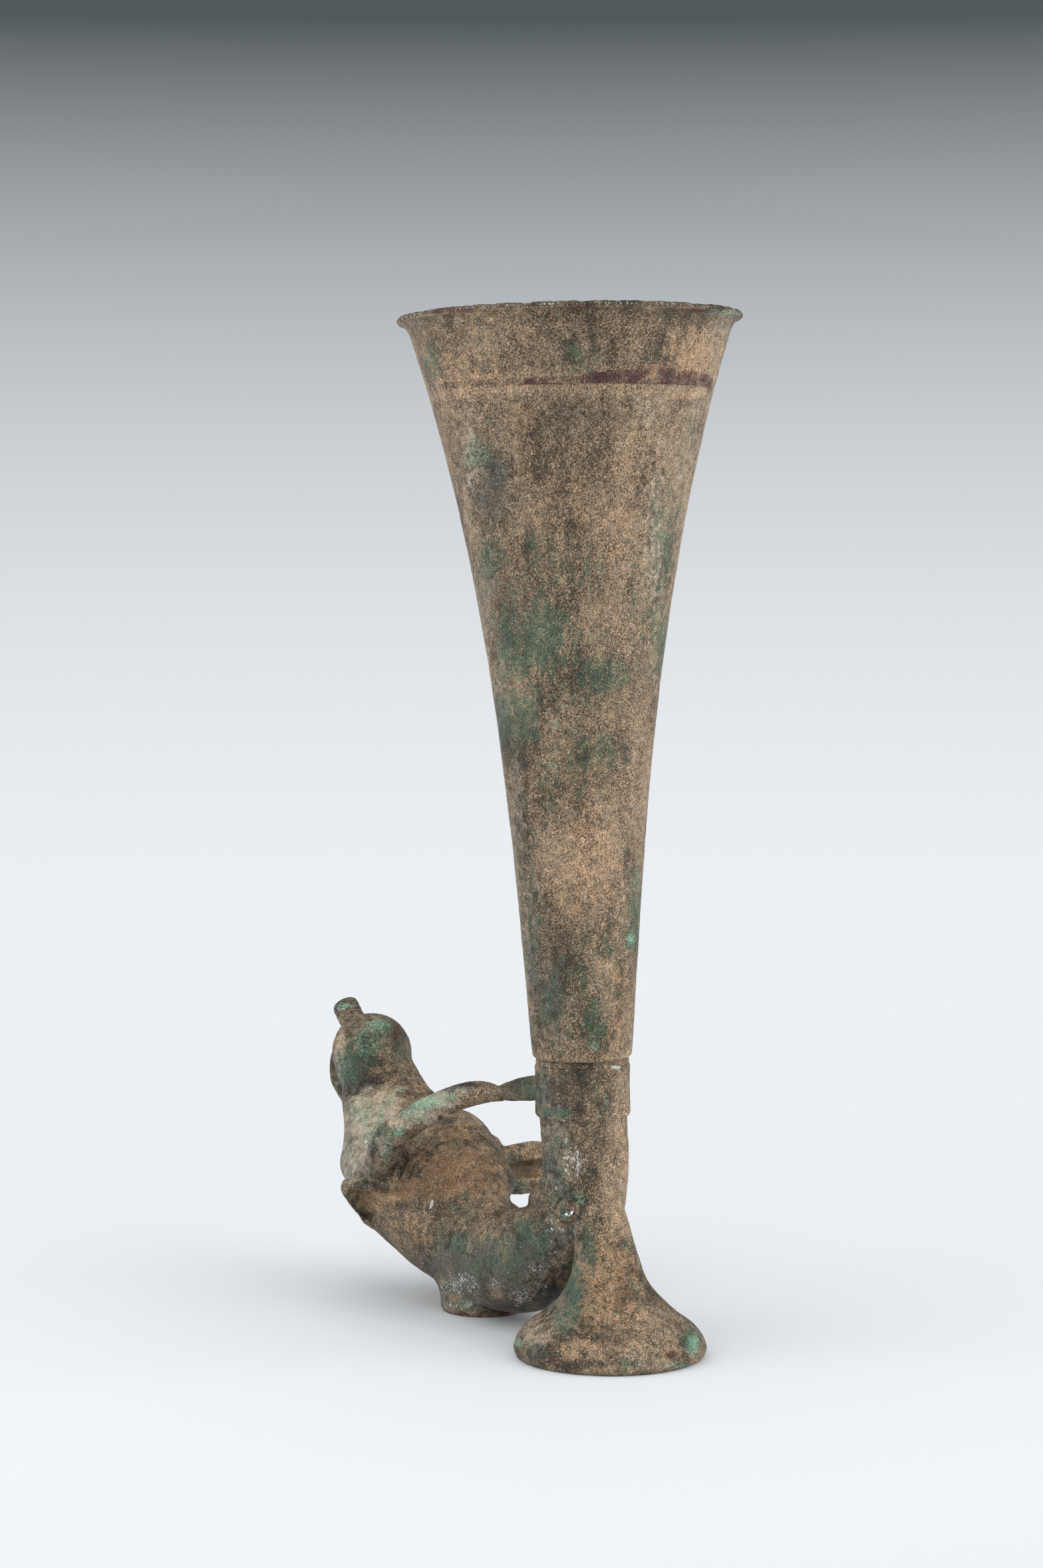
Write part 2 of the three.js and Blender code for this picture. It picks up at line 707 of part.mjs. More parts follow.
const rhyton = new THREE.Group();
rhyton.add(
  vessel,
  spoutGroup,
  closingDisc,
  toMesh('neck_elbow', neckSolid(), patina),
  toMesh('head_shell', headShellSolid(), patina),
  toMesh('foot_bell', footSolid(), patina),
  toMesh('left_ear', earSolid(leftEar), patina),
  toMesh('right_ear', earSolid(rightEar), patina),
  toMesh('left_horn', hornSolid(), greenPatina),
  toMesh('left_horn_tie', tieSolid(), greenPatina),
  toMesh('right_horn_root', rootStumpSolid(), patina),
  toMesh('core_pin_near', pinStub(pinNear), rust),
  toMesh('core_pin_far', pinStub(pinFar), rust),
);

// The origin is under the middle of the whole object's box, on the floor
const box = new THREE.Box3().setFromObject(rhyton, true);
const middle = box.getCenter(new THREE.Vector3());
rhyton.position.set(-middle.x, -middle.y, -box.min.z);

export default rhyton;
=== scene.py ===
import math
import random

import bmesh
import bpy
import numpy as np
from mathutils import Matrix, Vector, noise
from mathutils.bvhtree import BVHTree


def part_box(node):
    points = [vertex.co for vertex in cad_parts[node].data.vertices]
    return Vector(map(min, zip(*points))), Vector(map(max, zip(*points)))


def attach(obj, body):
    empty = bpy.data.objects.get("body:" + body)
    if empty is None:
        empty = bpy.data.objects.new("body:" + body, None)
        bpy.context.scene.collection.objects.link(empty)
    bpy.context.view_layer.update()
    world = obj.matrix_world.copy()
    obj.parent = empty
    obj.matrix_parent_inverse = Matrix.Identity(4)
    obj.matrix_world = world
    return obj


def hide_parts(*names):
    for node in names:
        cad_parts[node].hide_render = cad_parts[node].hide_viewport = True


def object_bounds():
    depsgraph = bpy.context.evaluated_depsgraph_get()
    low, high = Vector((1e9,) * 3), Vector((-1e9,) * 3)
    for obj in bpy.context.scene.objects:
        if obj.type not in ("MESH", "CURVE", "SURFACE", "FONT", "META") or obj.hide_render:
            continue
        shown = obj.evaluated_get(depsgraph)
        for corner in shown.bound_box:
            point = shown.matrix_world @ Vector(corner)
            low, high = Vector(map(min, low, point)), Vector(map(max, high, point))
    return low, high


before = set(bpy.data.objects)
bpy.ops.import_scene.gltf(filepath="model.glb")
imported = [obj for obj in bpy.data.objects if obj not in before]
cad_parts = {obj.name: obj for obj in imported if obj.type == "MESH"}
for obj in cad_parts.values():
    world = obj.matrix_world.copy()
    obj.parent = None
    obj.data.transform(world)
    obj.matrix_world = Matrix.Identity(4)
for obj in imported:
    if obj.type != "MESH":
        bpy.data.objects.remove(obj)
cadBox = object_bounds()
mm = 0.001
print("frame loaded:", len(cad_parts), "pieces")

# where the stem's axis stands in the frame, found from the disc under the chest
discMiddle = (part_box("chest_closing_disc")[0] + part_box("chest_closing_disc")[1]) / 2
discFromStem = 65.0  # mm along +X
stemFoot = Vector((discMiddle.x - discFromStem * mm, discMiddle.y, 0.0))


# shader helpers

def feed(tree, socket, value):
    if isinstance(value, bpy.types.NodeSocket):
        tree.links.new(value, socket)
    else:
        socket.default_value = value


def noiseField(tree, vector, scale, detail, rough):
    node = tree.nodes.new("ShaderNodeTexNoise")
    feed(tree, node.inputs["Scale"], scale)
    node.inputs["Detail"].default_value = detail
    node.inputs["Roughness"].default_value = rough
    tree.links.new(vector, node.inputs["Vector"])
    return node.outputs["Fac"]


def calc(tree, operation, first, second=0.0, clamp=False):
    node = tree.nodes.new("ShaderNodeMath")
    node.operation = operation
    node.use_clamp = clamp
    feed(tree, node.inputs[0], first)
    feed(tree, node.inputs[1], second)
    return node.outputs[0]


def plus(tree, first, second):
    return calc(tree, "ADD", first, second)


def minus(tree, first, second):
    return calc(tree, "SUBTRACT", first, second)


def times(tree, first, second):
    return calc(tree, "MULTIPLY", first, second)


def most(tree, first, second):
    return calc(tree, "MAXIMUM", first, second)


def stepMask(tree, value, low, high):
    node = tree.nodes.new("ShaderNodeMapRange")
    node.interpolation_type = "SMOOTHSTEP"
    feed(tree, node.inputs["Value"], value)
    feed(tree, node.inputs["From Min"], low)
    feed(tree, node.inputs["From Max"], high)
    return node.outputs["Result"]


def blendColour(tree, share, first, second, mode="MIX"):
    node = tree.nodes.new("ShaderNodeMix")
    node.data_type = "RGBA"
    node.blend_type = mode
    feed(tree, node.inputs[0], share)
    feed(tree, node.inputs[6], first)
    feed(tree, node.inputs[7], second)
    return node.outputs[2]


# coordinates drawn out along Z, for streaks that run down a wall
def stretched(tree, vector, upright):
    spread = tree.nodes.new("ShaderNodeCombineXYZ")
    for axis, amount in (("X", 1.0), ("Y", 1.0), ("Z", upright)):
        feed(tree, spread.inputs[axis], amount)
    node = tree.nodes.new("ShaderNodeVectorMath")
    node.operation = "MULTIPLY"
    tree.links.new(vector, node.inputs[0])
    tree.links.new(spread.outputs[0], node.inputs[1])
    return node.outputs[0]


# 1 where a ray comes from the camera, straight, mirrored or through glass
def straightRay(tree):
    ray = tree.nodes.new("ShaderNodeLightPath").outputs
    seen = most(tree, ray["Is Camera Ray"], ray["Is Transmission Ray"])
    return most(tree, seen, ray["Is Glossy Ray"])


# camera, floor and light

photoView = {
    "size": (1568, 2357),
    "stand": (-932.9, 584.3, 250.8),  # mm from the stem's foot
    "heading": 59.0,  # degrees from -Y towards +X
    "pitch": 3.36,  # degrees downwards
    "lens": 77.13,
    "sensor": 36.0,
}
viewTurn = math.radians(photoView["heading"])
viewDrop = math.radians(photoView["pitch"])
viewStand = stemFoot + Vector(photoView["stand"]) * mm
viewLook = Vector((
    math.sin(viewTurn) * math.cos(viewDrop),
    -math.cos(viewTurn) * math.cos(viewDrop),
    -math.sin(viewDrop),
))
viewRight = viewLook.cross(Vector((0, 0, 1))).normalized()
viewUp = viewRight.cross(viewLook)
viewZoom = photoView["lens"] / photoView["sensor"] * photoView["size"][1]  # photo pixels per unit of slope


# photo column and row of places in the frame, and their depth from the camera
def toPhoto(places):
    away = np.asarray(places) - np.array(viewStand)
    depth = away @ np.array(viewLook)
    u = photoView["size"][0] / 2 + viewZoom * (away @ np.array(viewRight)) / depth
    v = photoView["size"][1] / 2 - viewZoom * (away @ np.array(viewUp)) / depth
    return u, v, depth


# the way from the camera through a place in the photo
def photoRay(u, v):
    across = (u - photoView["size"][0] / 2) / viewZoom
    rise = (photoView["size"][1] / 2 - v) / viewZoom
    return (viewLook + viewRight * across + viewUp * rise).normalized()


# a tone as screens show it, as light
def linear(red, green, blue):
    shares = [channel / 255 for channel in (red, green, blue)]
    return tuple(s / 12.92 if s <= 0.04045 else ((s + 0.055) / 1.055) ** 2.4 for s in shares)


def addCamera():
    data = bpy.data.cameras.new("photoCamera")
    data.sensor_width = photoView["sensor"]
    data.lens = photoView["lens"]
    data.clip_end = 100.0
    camera = bpy.data.objects.new("photoCamera", data)
    camera.location = viewStand
    camera.rotation_euler = viewLook.to_track_quat("-Z", "Y").to_euler()
    bpy.context.scene.collection.objects.link(camera)
    bpy.context.scene.camera = camera


studio = {
    "floor": (216, 220, 224), "floorRoughness": 0.7, "floorShine": 0.2,
    "floorRadius": 14.0, "floorSides": 96,
    "fade": (0.17, 0.5),  # metres from the object over which the floor passes into the background
    "dusk": (0.84, 0.86, 0.895),  # brightest tone of the background, linear
    "haze": (0.0, 0.014, 0.019),  # what is added to it
    "duskFoot": -0.12, "duskSpan": 0.30,  # sine of the height where it starts to darken, and over how much
    "leastLevel": 0.1,
    "eyeHeight": 0.25, "eyeAway": 1.15,  # metres, for the tone of the far floor
    "skyLevel": 0.62,
    "middle": 0.16,  # metres up, what the lamps face
    "lamps": [
        {"name": "keyRight", "from": (1.05, -0.4, 0.4), "size": 1.8, "power": 12.6},
        {"name": "fillLeft", "from": (-1.05, -0.45, 0.4), "size": 1.5, "power": 9.0},
        {"name": "topSoft", "from": (-0.3, 0.15, 1.5), "size": 2.4, "power": 14.0},
    ],  # places are metres to the right, away from the camera and up, from the middle of the object
}


# tone of the background by the sine of its height
def duskTone(tree, height):
    rise = calc(tree, "DIVIDE", minus(tree, height, studio["duskFoot"]), studio["duskSpan"], True)
    level = most(tree, minus(tree, 1.0, times(tree, rise, rise)), studio["leastLevel"])
    tone = blendColour(tree, 1.0, (*studio["dusk"], 1), level, "MULTIPLY")
    return blendColour(tree, 1.0, tone, (*studio["haze"], 1), "ADD")


def addLamps():
    middle = Vector((0.0, 0.0, studio["middle"]))
    level = Vector((viewLook.x, viewLook.y, 0)).normalized()
    for lamp in studio["lamps"]:
        across, away, up = lamp["from"]
        data = bpy.data.lights.new(lamp["name"], "AREA")
        data.shape = "DISK"
        data.size = lamp["size"]
        data.energy = lamp["power"]
        light = bpy.data.objects.new(lamp["name"], data)
        light.location = middle + viewRight * across + level * away + Vector((0, 0, up))
        light.rotation_euler = (middle - light.location).to_track_quat("-Z", "Y").to_euler()
        bpy.context.scene.collection.objects.link(light)


# shows the second shader where the share is 1
def mixedShader(tree, share, first, second):
    node = tree.nodes.new("ShaderNodeMixShader")
    tree.links.new(share, node.inputs[0])
    tree.links.new(first.outputs[0], node.inputs[1])
    tree.links.new(second.outputs[0], node.inputs[2])
    return node.outputs[0]


def addBackground():
    world = bpy.data.worlds.new("studio")
    bpy.context.scene.world = world
    world.use_nodes = True
    tree = world.node_tree
    nodes, links = tree.nodes, tree.links
    nodes.clear()
    place = nodes.new("ShaderNodeTexCoord")
    split = nodes.new("ShaderNodeSeparateXYZ")
    links.new(place.outputs["Generated"], split.inputs[0])
    shown = nodes.new("ShaderNodeBackground")
    links.new(duskTone(tree, split.outputs["Z"]), shown.inputs["Color"])
    soft = nodes.new("ShaderNodeBackground")
    soft.inputs["Strength"].default_value = studio["skyLevel"]
    soft.inputs["Color"].default_value = (1, 1, 1, 1)
    out = nodes.new("ShaderNodeOutputWorld")
    links.new(mixedShader(tree, straightRay(tree), soft, shown), out.inputs[0])


def addFloor():
    bpy.ops.mesh.primitive_circle_add(
        vertices=studio["floorSides"], radius=studio["floorRadius"], fill_type="NGON")
    floor = bpy.context.object
    floor.name = "studioFloor"
    paint = bpy.data.materials.new("paleFloor")
    paint.use_nodes = True
    tree = paint.node_tree
    nodes, links = tree.nodes, tree.links
    shader = nodes["Principled BSDF"]
    shader.inputs["Base Color"].default_value = (*linear(*studio["floor"]), 1)
    shader.inputs["Roughness"].default_value = studio["floorRoughness"]
    shader.inputs["Specular IOR Level"].default_value = studio["floorShine"]
    place = nodes.new("ShaderNodeTexCoord")
    away = nodes.new("ShaderNodeVectorMath")
    away.operation = "LENGTH"
    links.new(place.outputs["Object"], away.inputs[0])
    sight = plus(tree, away.outputs["Value"], studio["eyeAway"])
    far = nodes.new("ShaderNodeEmission")
    links.new(duskTone(tree, calc(tree, "DIVIDE", -studio["eyeHeight"], sight)), far.inputs["Color"])
    share = times(tree, stepMask(tree, away.outputs["Value"], *studio["fade"]), straightRay(tree))
    links.new(mixedShader(tree, share, shader, far), nodes["Material Output"].inputs["Surface"])
    floor.data.materials.append(paint)


bpy.context.scene.view_settings.view_transform = "Standard"
addCamera()
addLamps()
addBackground()
addFloor()
print("camera, floor and light are set")


# stains and their places in the photo

cadCorners = []
cadFaces = []
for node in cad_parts.values():
    first = len(cadCorners)
    cadCorners.extend(corner.co.copy() for corner in node.data.vertices)
    cadFaces.extend([first + index for index in face.vertices] for face in node.data.polygons)
cadTree = BVHTree.FromPolygons(cadCorners, cadFaces)


def onPhoto(u, v):
    place, normal, _, _ = cadTree.ray_cast(viewStand, photoRay(u, v))
    return place, normal


# centre, half width and half height in photo pixels, and strength
photoStains = {
    "green": [
        (880, 1000, 80, 90, 0.34), (790, 1010, 50, 140, 0.4), (860, 1140, 70, 80, 0.3),
        (965, 900, 36, 150, 0.36), (830, 850, 50, 80, 0.3), (900, 1460, 60, 90, 0.34),
        (790, 1350, 26, 150, 0.32), (985, 1200, 24, 150, 0.3), (815, 960, 42, 62, 0.9),
        (780, 995, 24, 40, 0.8), (905, 1012, 48, 36, 0.75), (990, 960, 18, 60, 0.6),
        (993, 780, 20, 75, 0.5), (787, 1063, 26, 32, 0.9), (880, 1040, 30, 26, 0.5),
        (950, 1410, 14, 26, 0.7), (765, 960, 28, 80, 0.6), (760, 1080, 22, 50, 0.6),
        (797, 1100, 22, 24, 0.7), (900, 1130, 50, 36, 0.55), (955, 1360, 12, 75, 0.7),
        (895, 1530, 28, 50, 0.6), (830, 1500, 24, 60, 0.4), (740, 840, 24, 60, 0.5),
        (715, 685, 26, 20, 0.55), (870, 530, 60, 34, 0.25), (650, 545, 16, 34, 0.5),
        (1000, 820, 10, 60, 0.6), (820, 1190, 14, 60, 0.35), (835, 1672, 28, 8, 0.8),
        (548, 1572, 34, 38, 0.62), (578, 1545, 26, 15, 0.75), (525, 1602, 18, 30, 0.9),
        (604, 1582, 18, 26, 0.5), (589, 1703, 18, 14, 0.9), (625, 1668, 44, 14, 0.6),
        (791, 1853, 15, 30, 0.7), (690, 1866, 18, 18, 0.6), (660, 1862, 14, 20, 0.4),
        (845, 1790, 22, 34, 0.5), (862, 1940, 14, 46, 0.75), (886, 1875, 13, 40, 0.6),
        (824, 1950, 12, 20, 0.35), (700, 1815, 28, 30, 0.35), (985, 1630, 10, 40, 0.3),
        (760, 1890, 36, 34, 0.5), (715, 1905, 36, 26, 0.4), (818, 1865, 18, 36, 0.55),
        (523, 1798, 4, 7, 0.9), (531, 1810, 6, 5, 0.95), (541, 1817, 6, 5, 0.9), (760, 1480, 20, 60, 0.3),
        (1040, 2008, 16, 18, 0.6), (850, 1827, 8, 9, 0.95), (940, 1874, 10, 12, 0.4),
        (800, 1640, 26, 30, 0.5), (850, 1985, 24, 22, 0.5),
    ],
    "mint": [
        (545, 1672, 16, 30, 0.35), (560, 1705, 14, 24, 0.35), (620, 1672, 30, 14, 0.45),
        (668, 1648, 26, 10, 0.4), (582, 1728, 10, 22, 0.3), (637, 1656, 36, 11, 0.95),
        (600, 1700, 12, 9, 0.8), (572, 1682, 7, 20, 0.6), (588, 1655, 9, 11, 0.5),
        (1042, 2022, 10, 16, 0.95), (779, 2019, 7, 6, 0.7), (1015, 2052, 22, 5, 0.5),
        (566, 1540, 18, 11, 0.6), (552, 1568, 24, 24, 0.3), (516, 1512, 16, 5, 0.7),
        (850, 1826, 6, 7, 0.4), (873, 1802, 8, 10, 0.5), (949, 1412, 6, 11, 0.8), (700, 1960, 14, 7, 0.4),
        (894, 1573, 8, 9, 0.5), (720, 680, 18, 30, 0.25), (600, 478, 24, 6, 0.3), (1085, 470, 36, 4, 0.5),
        (834, 1090, 8, 8, 0.3), (832, 1151, 5, 5, 0.5), (600, 1640, 10, 8, 0.4),
    ],
    "pale": [
        (862, 1748, 22, 34, 0.9), (834, 1841, 20, 18, 0.8), (690, 1933, 40, 26, 0.9),
        (806, 1908, 20, 12, 0.9), (779, 1951, 26, 16, 0.9), (742, 1930, 16, 12, 0.9),
        (700, 1962, 44, 10, 0.8), (925, 1604, 11, 3.5, 1.3), (516, 1518, 18, 5, 0.7),
        (977, 620, 14, 26, 0.6), (850, 1700, 20, 40, 0.5), (640, 1890, 30, 26, 0.45),
        (830, 1880, 22, 22, 0.6), (885, 1800, 18, 40, 0.4), (912, 1520, 16, 30, 0.4),
        (705, 1095, 10, 30, 0.3), (850, 462, 230, 3, 0.5), (618, 486, 12, 10, 0.6),
        (1010, 1150, 16, 60, 0.25), (880, 540, 30, 12, 0.25), (815, 1930, 12, 12, 0.7),
        (870, 1790, 14, 20, 0.6), (640, 1662, 40, 9, 0.5), (840, 1785, 10, 16, 0.7),
        (830, 1820, 14, 14, 0.6),
    ],
    "dark": [
        # painted shade: a dark line along the horn's upper edge, from this line's stains and the first of the
        # next
        (561, 1738, 4, 24, 0.6), (571, 1706, 4, 16, 0.6), (590, 1680, 9, 5, 0.6), (618, 1662, 14, 4, 0.5),
        (645, 1645, 14, 3, 0.5), (700, 520, 60, 40, 0.25), (840, 520, 80, 40, 0.25),
        (800, 930, 50, 60, 0.2), (900, 720, 40, 60, 0.3), (800, 1150, 40, 70, 0.2),
        (680, 1910, 60, 40, 0.45), (770, 1900, 50, 40, 0.3), (690, 1760, 60, 44, 0.22),
        (880, 1960, 30, 40, 0.25), (780, 1130, 40, 60, 0.3), (860, 1150, 30, 50, 0.3),
        (850, 720, 50, 60, 0.25), (650, 530, 30, 40, 0.25), (775, 1748, 12, 8, 0.8),
        (800, 1750, 24, 6, 0.7), (770, 1780, 10, 14, 0.7), (815, 1745, 10, 20, 0.5),
        (742, 735, 26, 46, 0.6), (796, 812, 12, 30, 0.4), (850, 630, 90, 40, 0.4),
        # painted shade under the ball: this line's three stains
        (540, 1628, 34, 16, 0.9), (576, 1620, 24, 12, 0.5), (520, 1640, 14, 30, 0.6),
        (693, 1634, 22, 8, 0.9), (831, 1951, 22, 30, 0.95), (770, 1965, 40, 14, 0.7),
        (804, 2036, 34, 16, 0.75), (926, 2006, 34, 16, 0.35), (850, 2050, 90, 7, 0.6),
        # painted shade: the last two, in the crease beside the left ear and in that ear's pocket
        (785, 1760, 22, 12, 0.5), (575, 1789, 14, 5, 0.7), (551, 1827, 10, 6, 0.6),
        (662, 1680, 5, 4, 0.9), (880, 830, 30, 60, 0.25), (830, 1460, 34, 100, 0.5),
        (845, 1630, 40, 40, 0.35), (860, 1240, 24, 60, 0.2), (700, 1720, 30, 24, 0.3),
        (780, 1630, 26, 12, 0.5), (1067, 588, 4, 10, 0.9), (812, 1440, 20, 70, 0.4),
        (800, 1880, 20, 40, 0.35), (868, 1600, 60, 3, 0.5), (760, 1900, 60, 40, 0.4),
        (640, 1780, 50, 40, 0.3),
    ],
    # tan patina; the stains of strength 1.0 on the head, on the cheek and the top behind the ball, are also
    # painted light where the top of the head is lit
    "tan": [
        (558, 1566, 34, 34, 0.5), (625, 1676, 40, 18, 1.0), (1000, 2000, 40, 30, 0.6),
        (810, 1990, 26, 30, 0.4), (940, 810, 50, 95, 0.6), (930, 945, 52, 62, 0.6),
        (960, 1160, 26, 120, 0.4), (960, 700, 60, 60, 0.6), (905, 1950, 30, 44, 0.25),
        (970, 1990, 40, 40, 0.6), (940, 1700, 26, 90, 1.2), (935, 1790, 34, 60, 1.2),
        (575, 1655, 34, 44, 1.0), (545, 1660, 20, 30, 0.7), (511, 1560, 10, 32, 0.7),
        (606, 1590, 12, 22, 0.6), (538, 1690, 14, 34, 0.7), (600, 1637, 34, 14, 0.6),
        (690, 1760, 40, 40, 0.3), (625, 1830, 30, 24, 0.3), (720, 1820, 40, 40, 0.3),
        (820, 1130, 30, 60, 0.4), (880, 1290, 66, 80, 0.8), (660, 560, 60, 60, 0.35),
        (850, 510, 220, 34, 0.25), (900, 590, 130, 5, 0.45), (1020, 594, 50, 5, 0.5),
        (655, 1668, 50, 18, 1.0), (598, 1696, 22, 24, 1.0), (705, 1644, 30, 10, 0.7),
        (1040, 530, 40, 36, 0.6), (936, 1640, 26, 34, 0.9), (950, 1700, 20, 100, 1.0),
        (870, 2030, 50, 20, 0.5), (740, 1700, 14, 30, 0.3), (640, 1690, 30, 10, 0.5),
        (910, 1470, 26, 50, 0.6),
    ],
    "red": [
        (680, 466, 40, 6, 0.8), (870, 461, 36, 4, 0.7), (1048, 467, 36, 5, 0.7), (1106, 486, 18, 12, 0.8),
        (596, 1550, 8, 20, 0.7), (616, 1703, 14, 7, 0.7), (662, 1680, 5, 5, 1.0), (831, 2043, 7, 5, 1.0),
        (1009, 2036, 9, 6, 1.0), (823, 577, 60, 2.5, 0.9), (690, 1976, 24, 4, 0.7),
        (1000, 1000, 5, 32, 0.6), (562, 1505, 8, 8, 0.3), (880, 2060, 120, 3, 0.4),
        (690, 1634, 14, 4, 0.5),
    ],
    "slate": [
        (728, 882, 18, 90, 0.8), (752, 1030, 16, 80, 0.7), (705, 690, 18, 110, 0.6),
        (775, 1250, 14, 150, 0.7), (742, 735, 30, 50, 0.9), (850, 535, 70, 34, 0.25),
        (850, 625, 90, 40, 0.25), (540, 1745, 30, 50, 0.9), (528, 1705, 24, 80, 0.8),
        (545, 1690, 16, 40, 0.5), (515, 1600, 14, 60, 0.6), (690, 1905, 60, 40, 0.8),
        (835, 1725, 24, 70, 0.8), (800, 2012, 30, 40, 0.7), (845, 1960, 24, 46, 0.8),
        (845, 1850, 26, 60, 0.7), (640, 1640, 40, 16, 0.4), (780, 1900, 60, 50, 0.8),
        (990, 900, 16, 200, 0.5), (740, 1880, 60, 40, 0.7), (650, 560, 20, 70, 0.4),
        (800, 1420, 14, 120, 0.7), (820, 1640, 12, 50, 0.6), (1000, 720, 14, 120, 0.5),
        (872, 1930, 22, 60, 0.8), (590, 1735, 14, 30, 0.6), (690, 1960, 60, 20, 0.7),
        (830, 1500, 30, 80, 0.5),
    ],
    "brown": [
        (686, 1759, 60, 44, 0.95), (635, 1788, 60, 20, 0.9), (590, 1797, 44, 12, 1.0),
        (690, 1705, 44, 20, 0.6), (787, 632, 26, 26, 0.6), (945, 1700, 18, 100, 0.6),
        (915, 1935, 60, 84, 0.6), (850, 760, 60, 70, 0.3), (880, 1300, 50, 100, 0.4),
        (930, 1500, 20, 90, 0.5), (700, 560, 60, 50, 0.4), (640, 1640, 36, 14, 0.5),
        (880, 2030, 70, 20, 0.4), (740, 1780, 30, 40, 0.5), (620, 1850, 40, 24, 0.5),
        (870, 1150, 60, 70, 0.3), (785, 1762, 26, 16, 1.0), (800, 1735, 20, 14, 0.7),
        (550, 1806, 24, 18, 0.9), (838, 1824, 4, 9, 1.0), (846, 1839, 9, 4, 1.0), (861, 1834, 5, 5, 1.0),
        (1040, 530, 40, 36, 0.6),
    ],
    # a pale film that is mostly painted light: on the lit top of the head and the horn, the foot's lit flare
    # and lit strips along the beaker's edges
    "filmAndHighlight": [
        (578, 1662, 24, 28, 1.0), (632, 1676, 46, 18, 1.0), (800, 2005, 20, 36, 0.25),
        (990, 1995, 40, 26, 0.25), (545, 1695, 30, 56, 0.78), (528, 1745, 20, 44, 0.7),
        (560, 1655, 28, 26, 0.6), (640, 1658, 50, 15, 1.0), (668, 1650, 30, 12, 0.8),
        (600, 1688, 20, 16, 0.8), (578, 1722, 12, 26, 0.6), (695, 1638, 30, 7, 0.6),
        (512, 1590, 8, 50, 0.6), (985, 800, 16, 130, 0.5), (975, 620, 20, 40, 0.4),
        (707, 690, 12, 60, 0.5),
    ],
}
stainKinds = list(photoStains)
stainReach = 16 * mm  # how far in depth a stain of the photo spreads
stainEdge = 1.5  # how firmly it ends
hollowRounds = {"spread": 12, "soft": 3}
hollowScale = 0.5 * mm

# stains of the sides that the photo does not show
unseenStains = {
    "seed": 14, "count": 170, "size": (4 * mm, 15 * mm), "strength": (0.3, 0.75),
    "kinds": [
        "green", "green", "mint", "pale", "dark", "dark", "tan", "tan", "red",
        "slate", "slate", "brown", "brown",
    ],
    "smallKinds": ("red", "mint"), "small": 0.5,
    "clear": 0.16, "turned": 0.2, "behind": 25 * mm,  # free space over it, turned away, hidden by so much
    "warp": (7 * mm, 7 * mm),  # size and depth of the noise in its outline
}


def placeStains():
    placed = []
    for kind, stains in photoStains.items():
        for u, v, wide, high, strength in stains:
            place, _ = onPhoto(u, v)
            if place is not None:
                depth = (place - viewStand).dot(viewLook)
                placed.append((stainKinds.index(kind), u, v, wide, high, strength, depth))
    return placed


def scatterStains():
    draw = random.Random(unseenStains["seed"])
    hidden = []
    while len(hidden) < unseenStains["count"]:
        face = cadFaces[draw.randrange(len(cadFaces))]
        corners = [cadCorners[index] for index in face[:3]]
        normal = (corners[1] - corners[0]).cross(corners[2] - corners[0])
        middle = sum(corners, Vector()) / 3
        normal.normalize()
        if normal.dot(viewLook) < unseenStains["turned"]:
            continue
        blocked = cadTree.ray_cast(middle + normal * mm, normal, unseenStains["clear"])[0]
        u, v, _ = toPhoto([middle])
        shown, _ = onPhoto(u[0], v[0])
        if blocked is None and (shown is None or (shown - middle).length > unseenStains["behind"]):
            kind = draw.choice(unseenStains["kinds"])
            size = draw.uniform(*unseenStains["size"])
            if kind in unseenStains["smallKinds"]:
                size *= unseenStains["small"]
            hidden.append((stainKinds.index(kind), middle, size, draw.uniform(*unseenStains["strength"])))
    return hidden


# colour layers of a mesh, three stain kinds in each
stainLayers = {"stainsA": 0, "stainsB": 3, "stainsC": 6}
placedStains = placeStains()
hiddenStains = scatterStains()


def vertexValues(mesh, kind):
    flat = np.empty(len(mesh.vertices) * 3)
    mesh.vertices.foreach_get(kind, flat)
    return flat.reshape(-1, 3)


def vertexPlaces(mesh):
    return vertexValues(mesh, "co")


def vertexNormals(mesh):
    return vertexValues(mesh, "normal")


def setPlaces(mesh, places):
    mesh.vertices.foreach_set("co", places.ravel())
    mesh.update()


# moves each point along its normal, in mm
def pushOut(mesh, push):
    setPlaces(mesh, vertexPlaces(mesh) + vertexNormals(mesh) * (push * mm)[:, None])


# noise at each place, with lumps of a size in mm
def fieldNoise(places, size):
    return np.array([noise.noise(Vector(place) / (size * mm)) for place in places])


def meshEdges(mesh):
    flat = np.empty(len(mesh.edges) * 2, dtype=np.int64)
    mesh.edges.foreach_get("vertices", flat)
    return flat.reshape(-1, 2)


def neighbourMean(values, edges):
    count = np.bincount(edges.ravel(), minlength=len(values)).clip(1)
    total = np.zeros_like(values)
    for k in range(values.shape[1]):
        total[:, k] = np.bincount(edges[:, 0], values[edges[:, 1], k], len(values))
        total[:, k] += np.bincount(edges[:, 1], values[edges[:, 0], k], len(values))
    return total / count[:, None]


# how deep each point lies in a hollow: 0 on a ridge, 0.5 on the flat, 1 in a crease
def hollowness(mesh):
    places, normals, edges = vertexPlaces(mesh), vertexNormals(mesh), meshEdges(mesh)
    wide = places.copy()
    for _ in range(hollowRounds["spread"]):
        wide = neighbourMean(wide, edges)
    depth = ((wide - places) * normals).sum(axis=1, keepdims=True)
    for _ in range(hollowRounds["soft"]):
        depth = neighbourMean(depth, edges)
    return np.clip(0.5 + depth[:, 0] / hollowScale, 0, 1)


def paintValue(mesh, name, values):
    layer = mesh.attributes.new(name, "FLOAT", "POINT")
    layer.data.foreach_set("value", values)


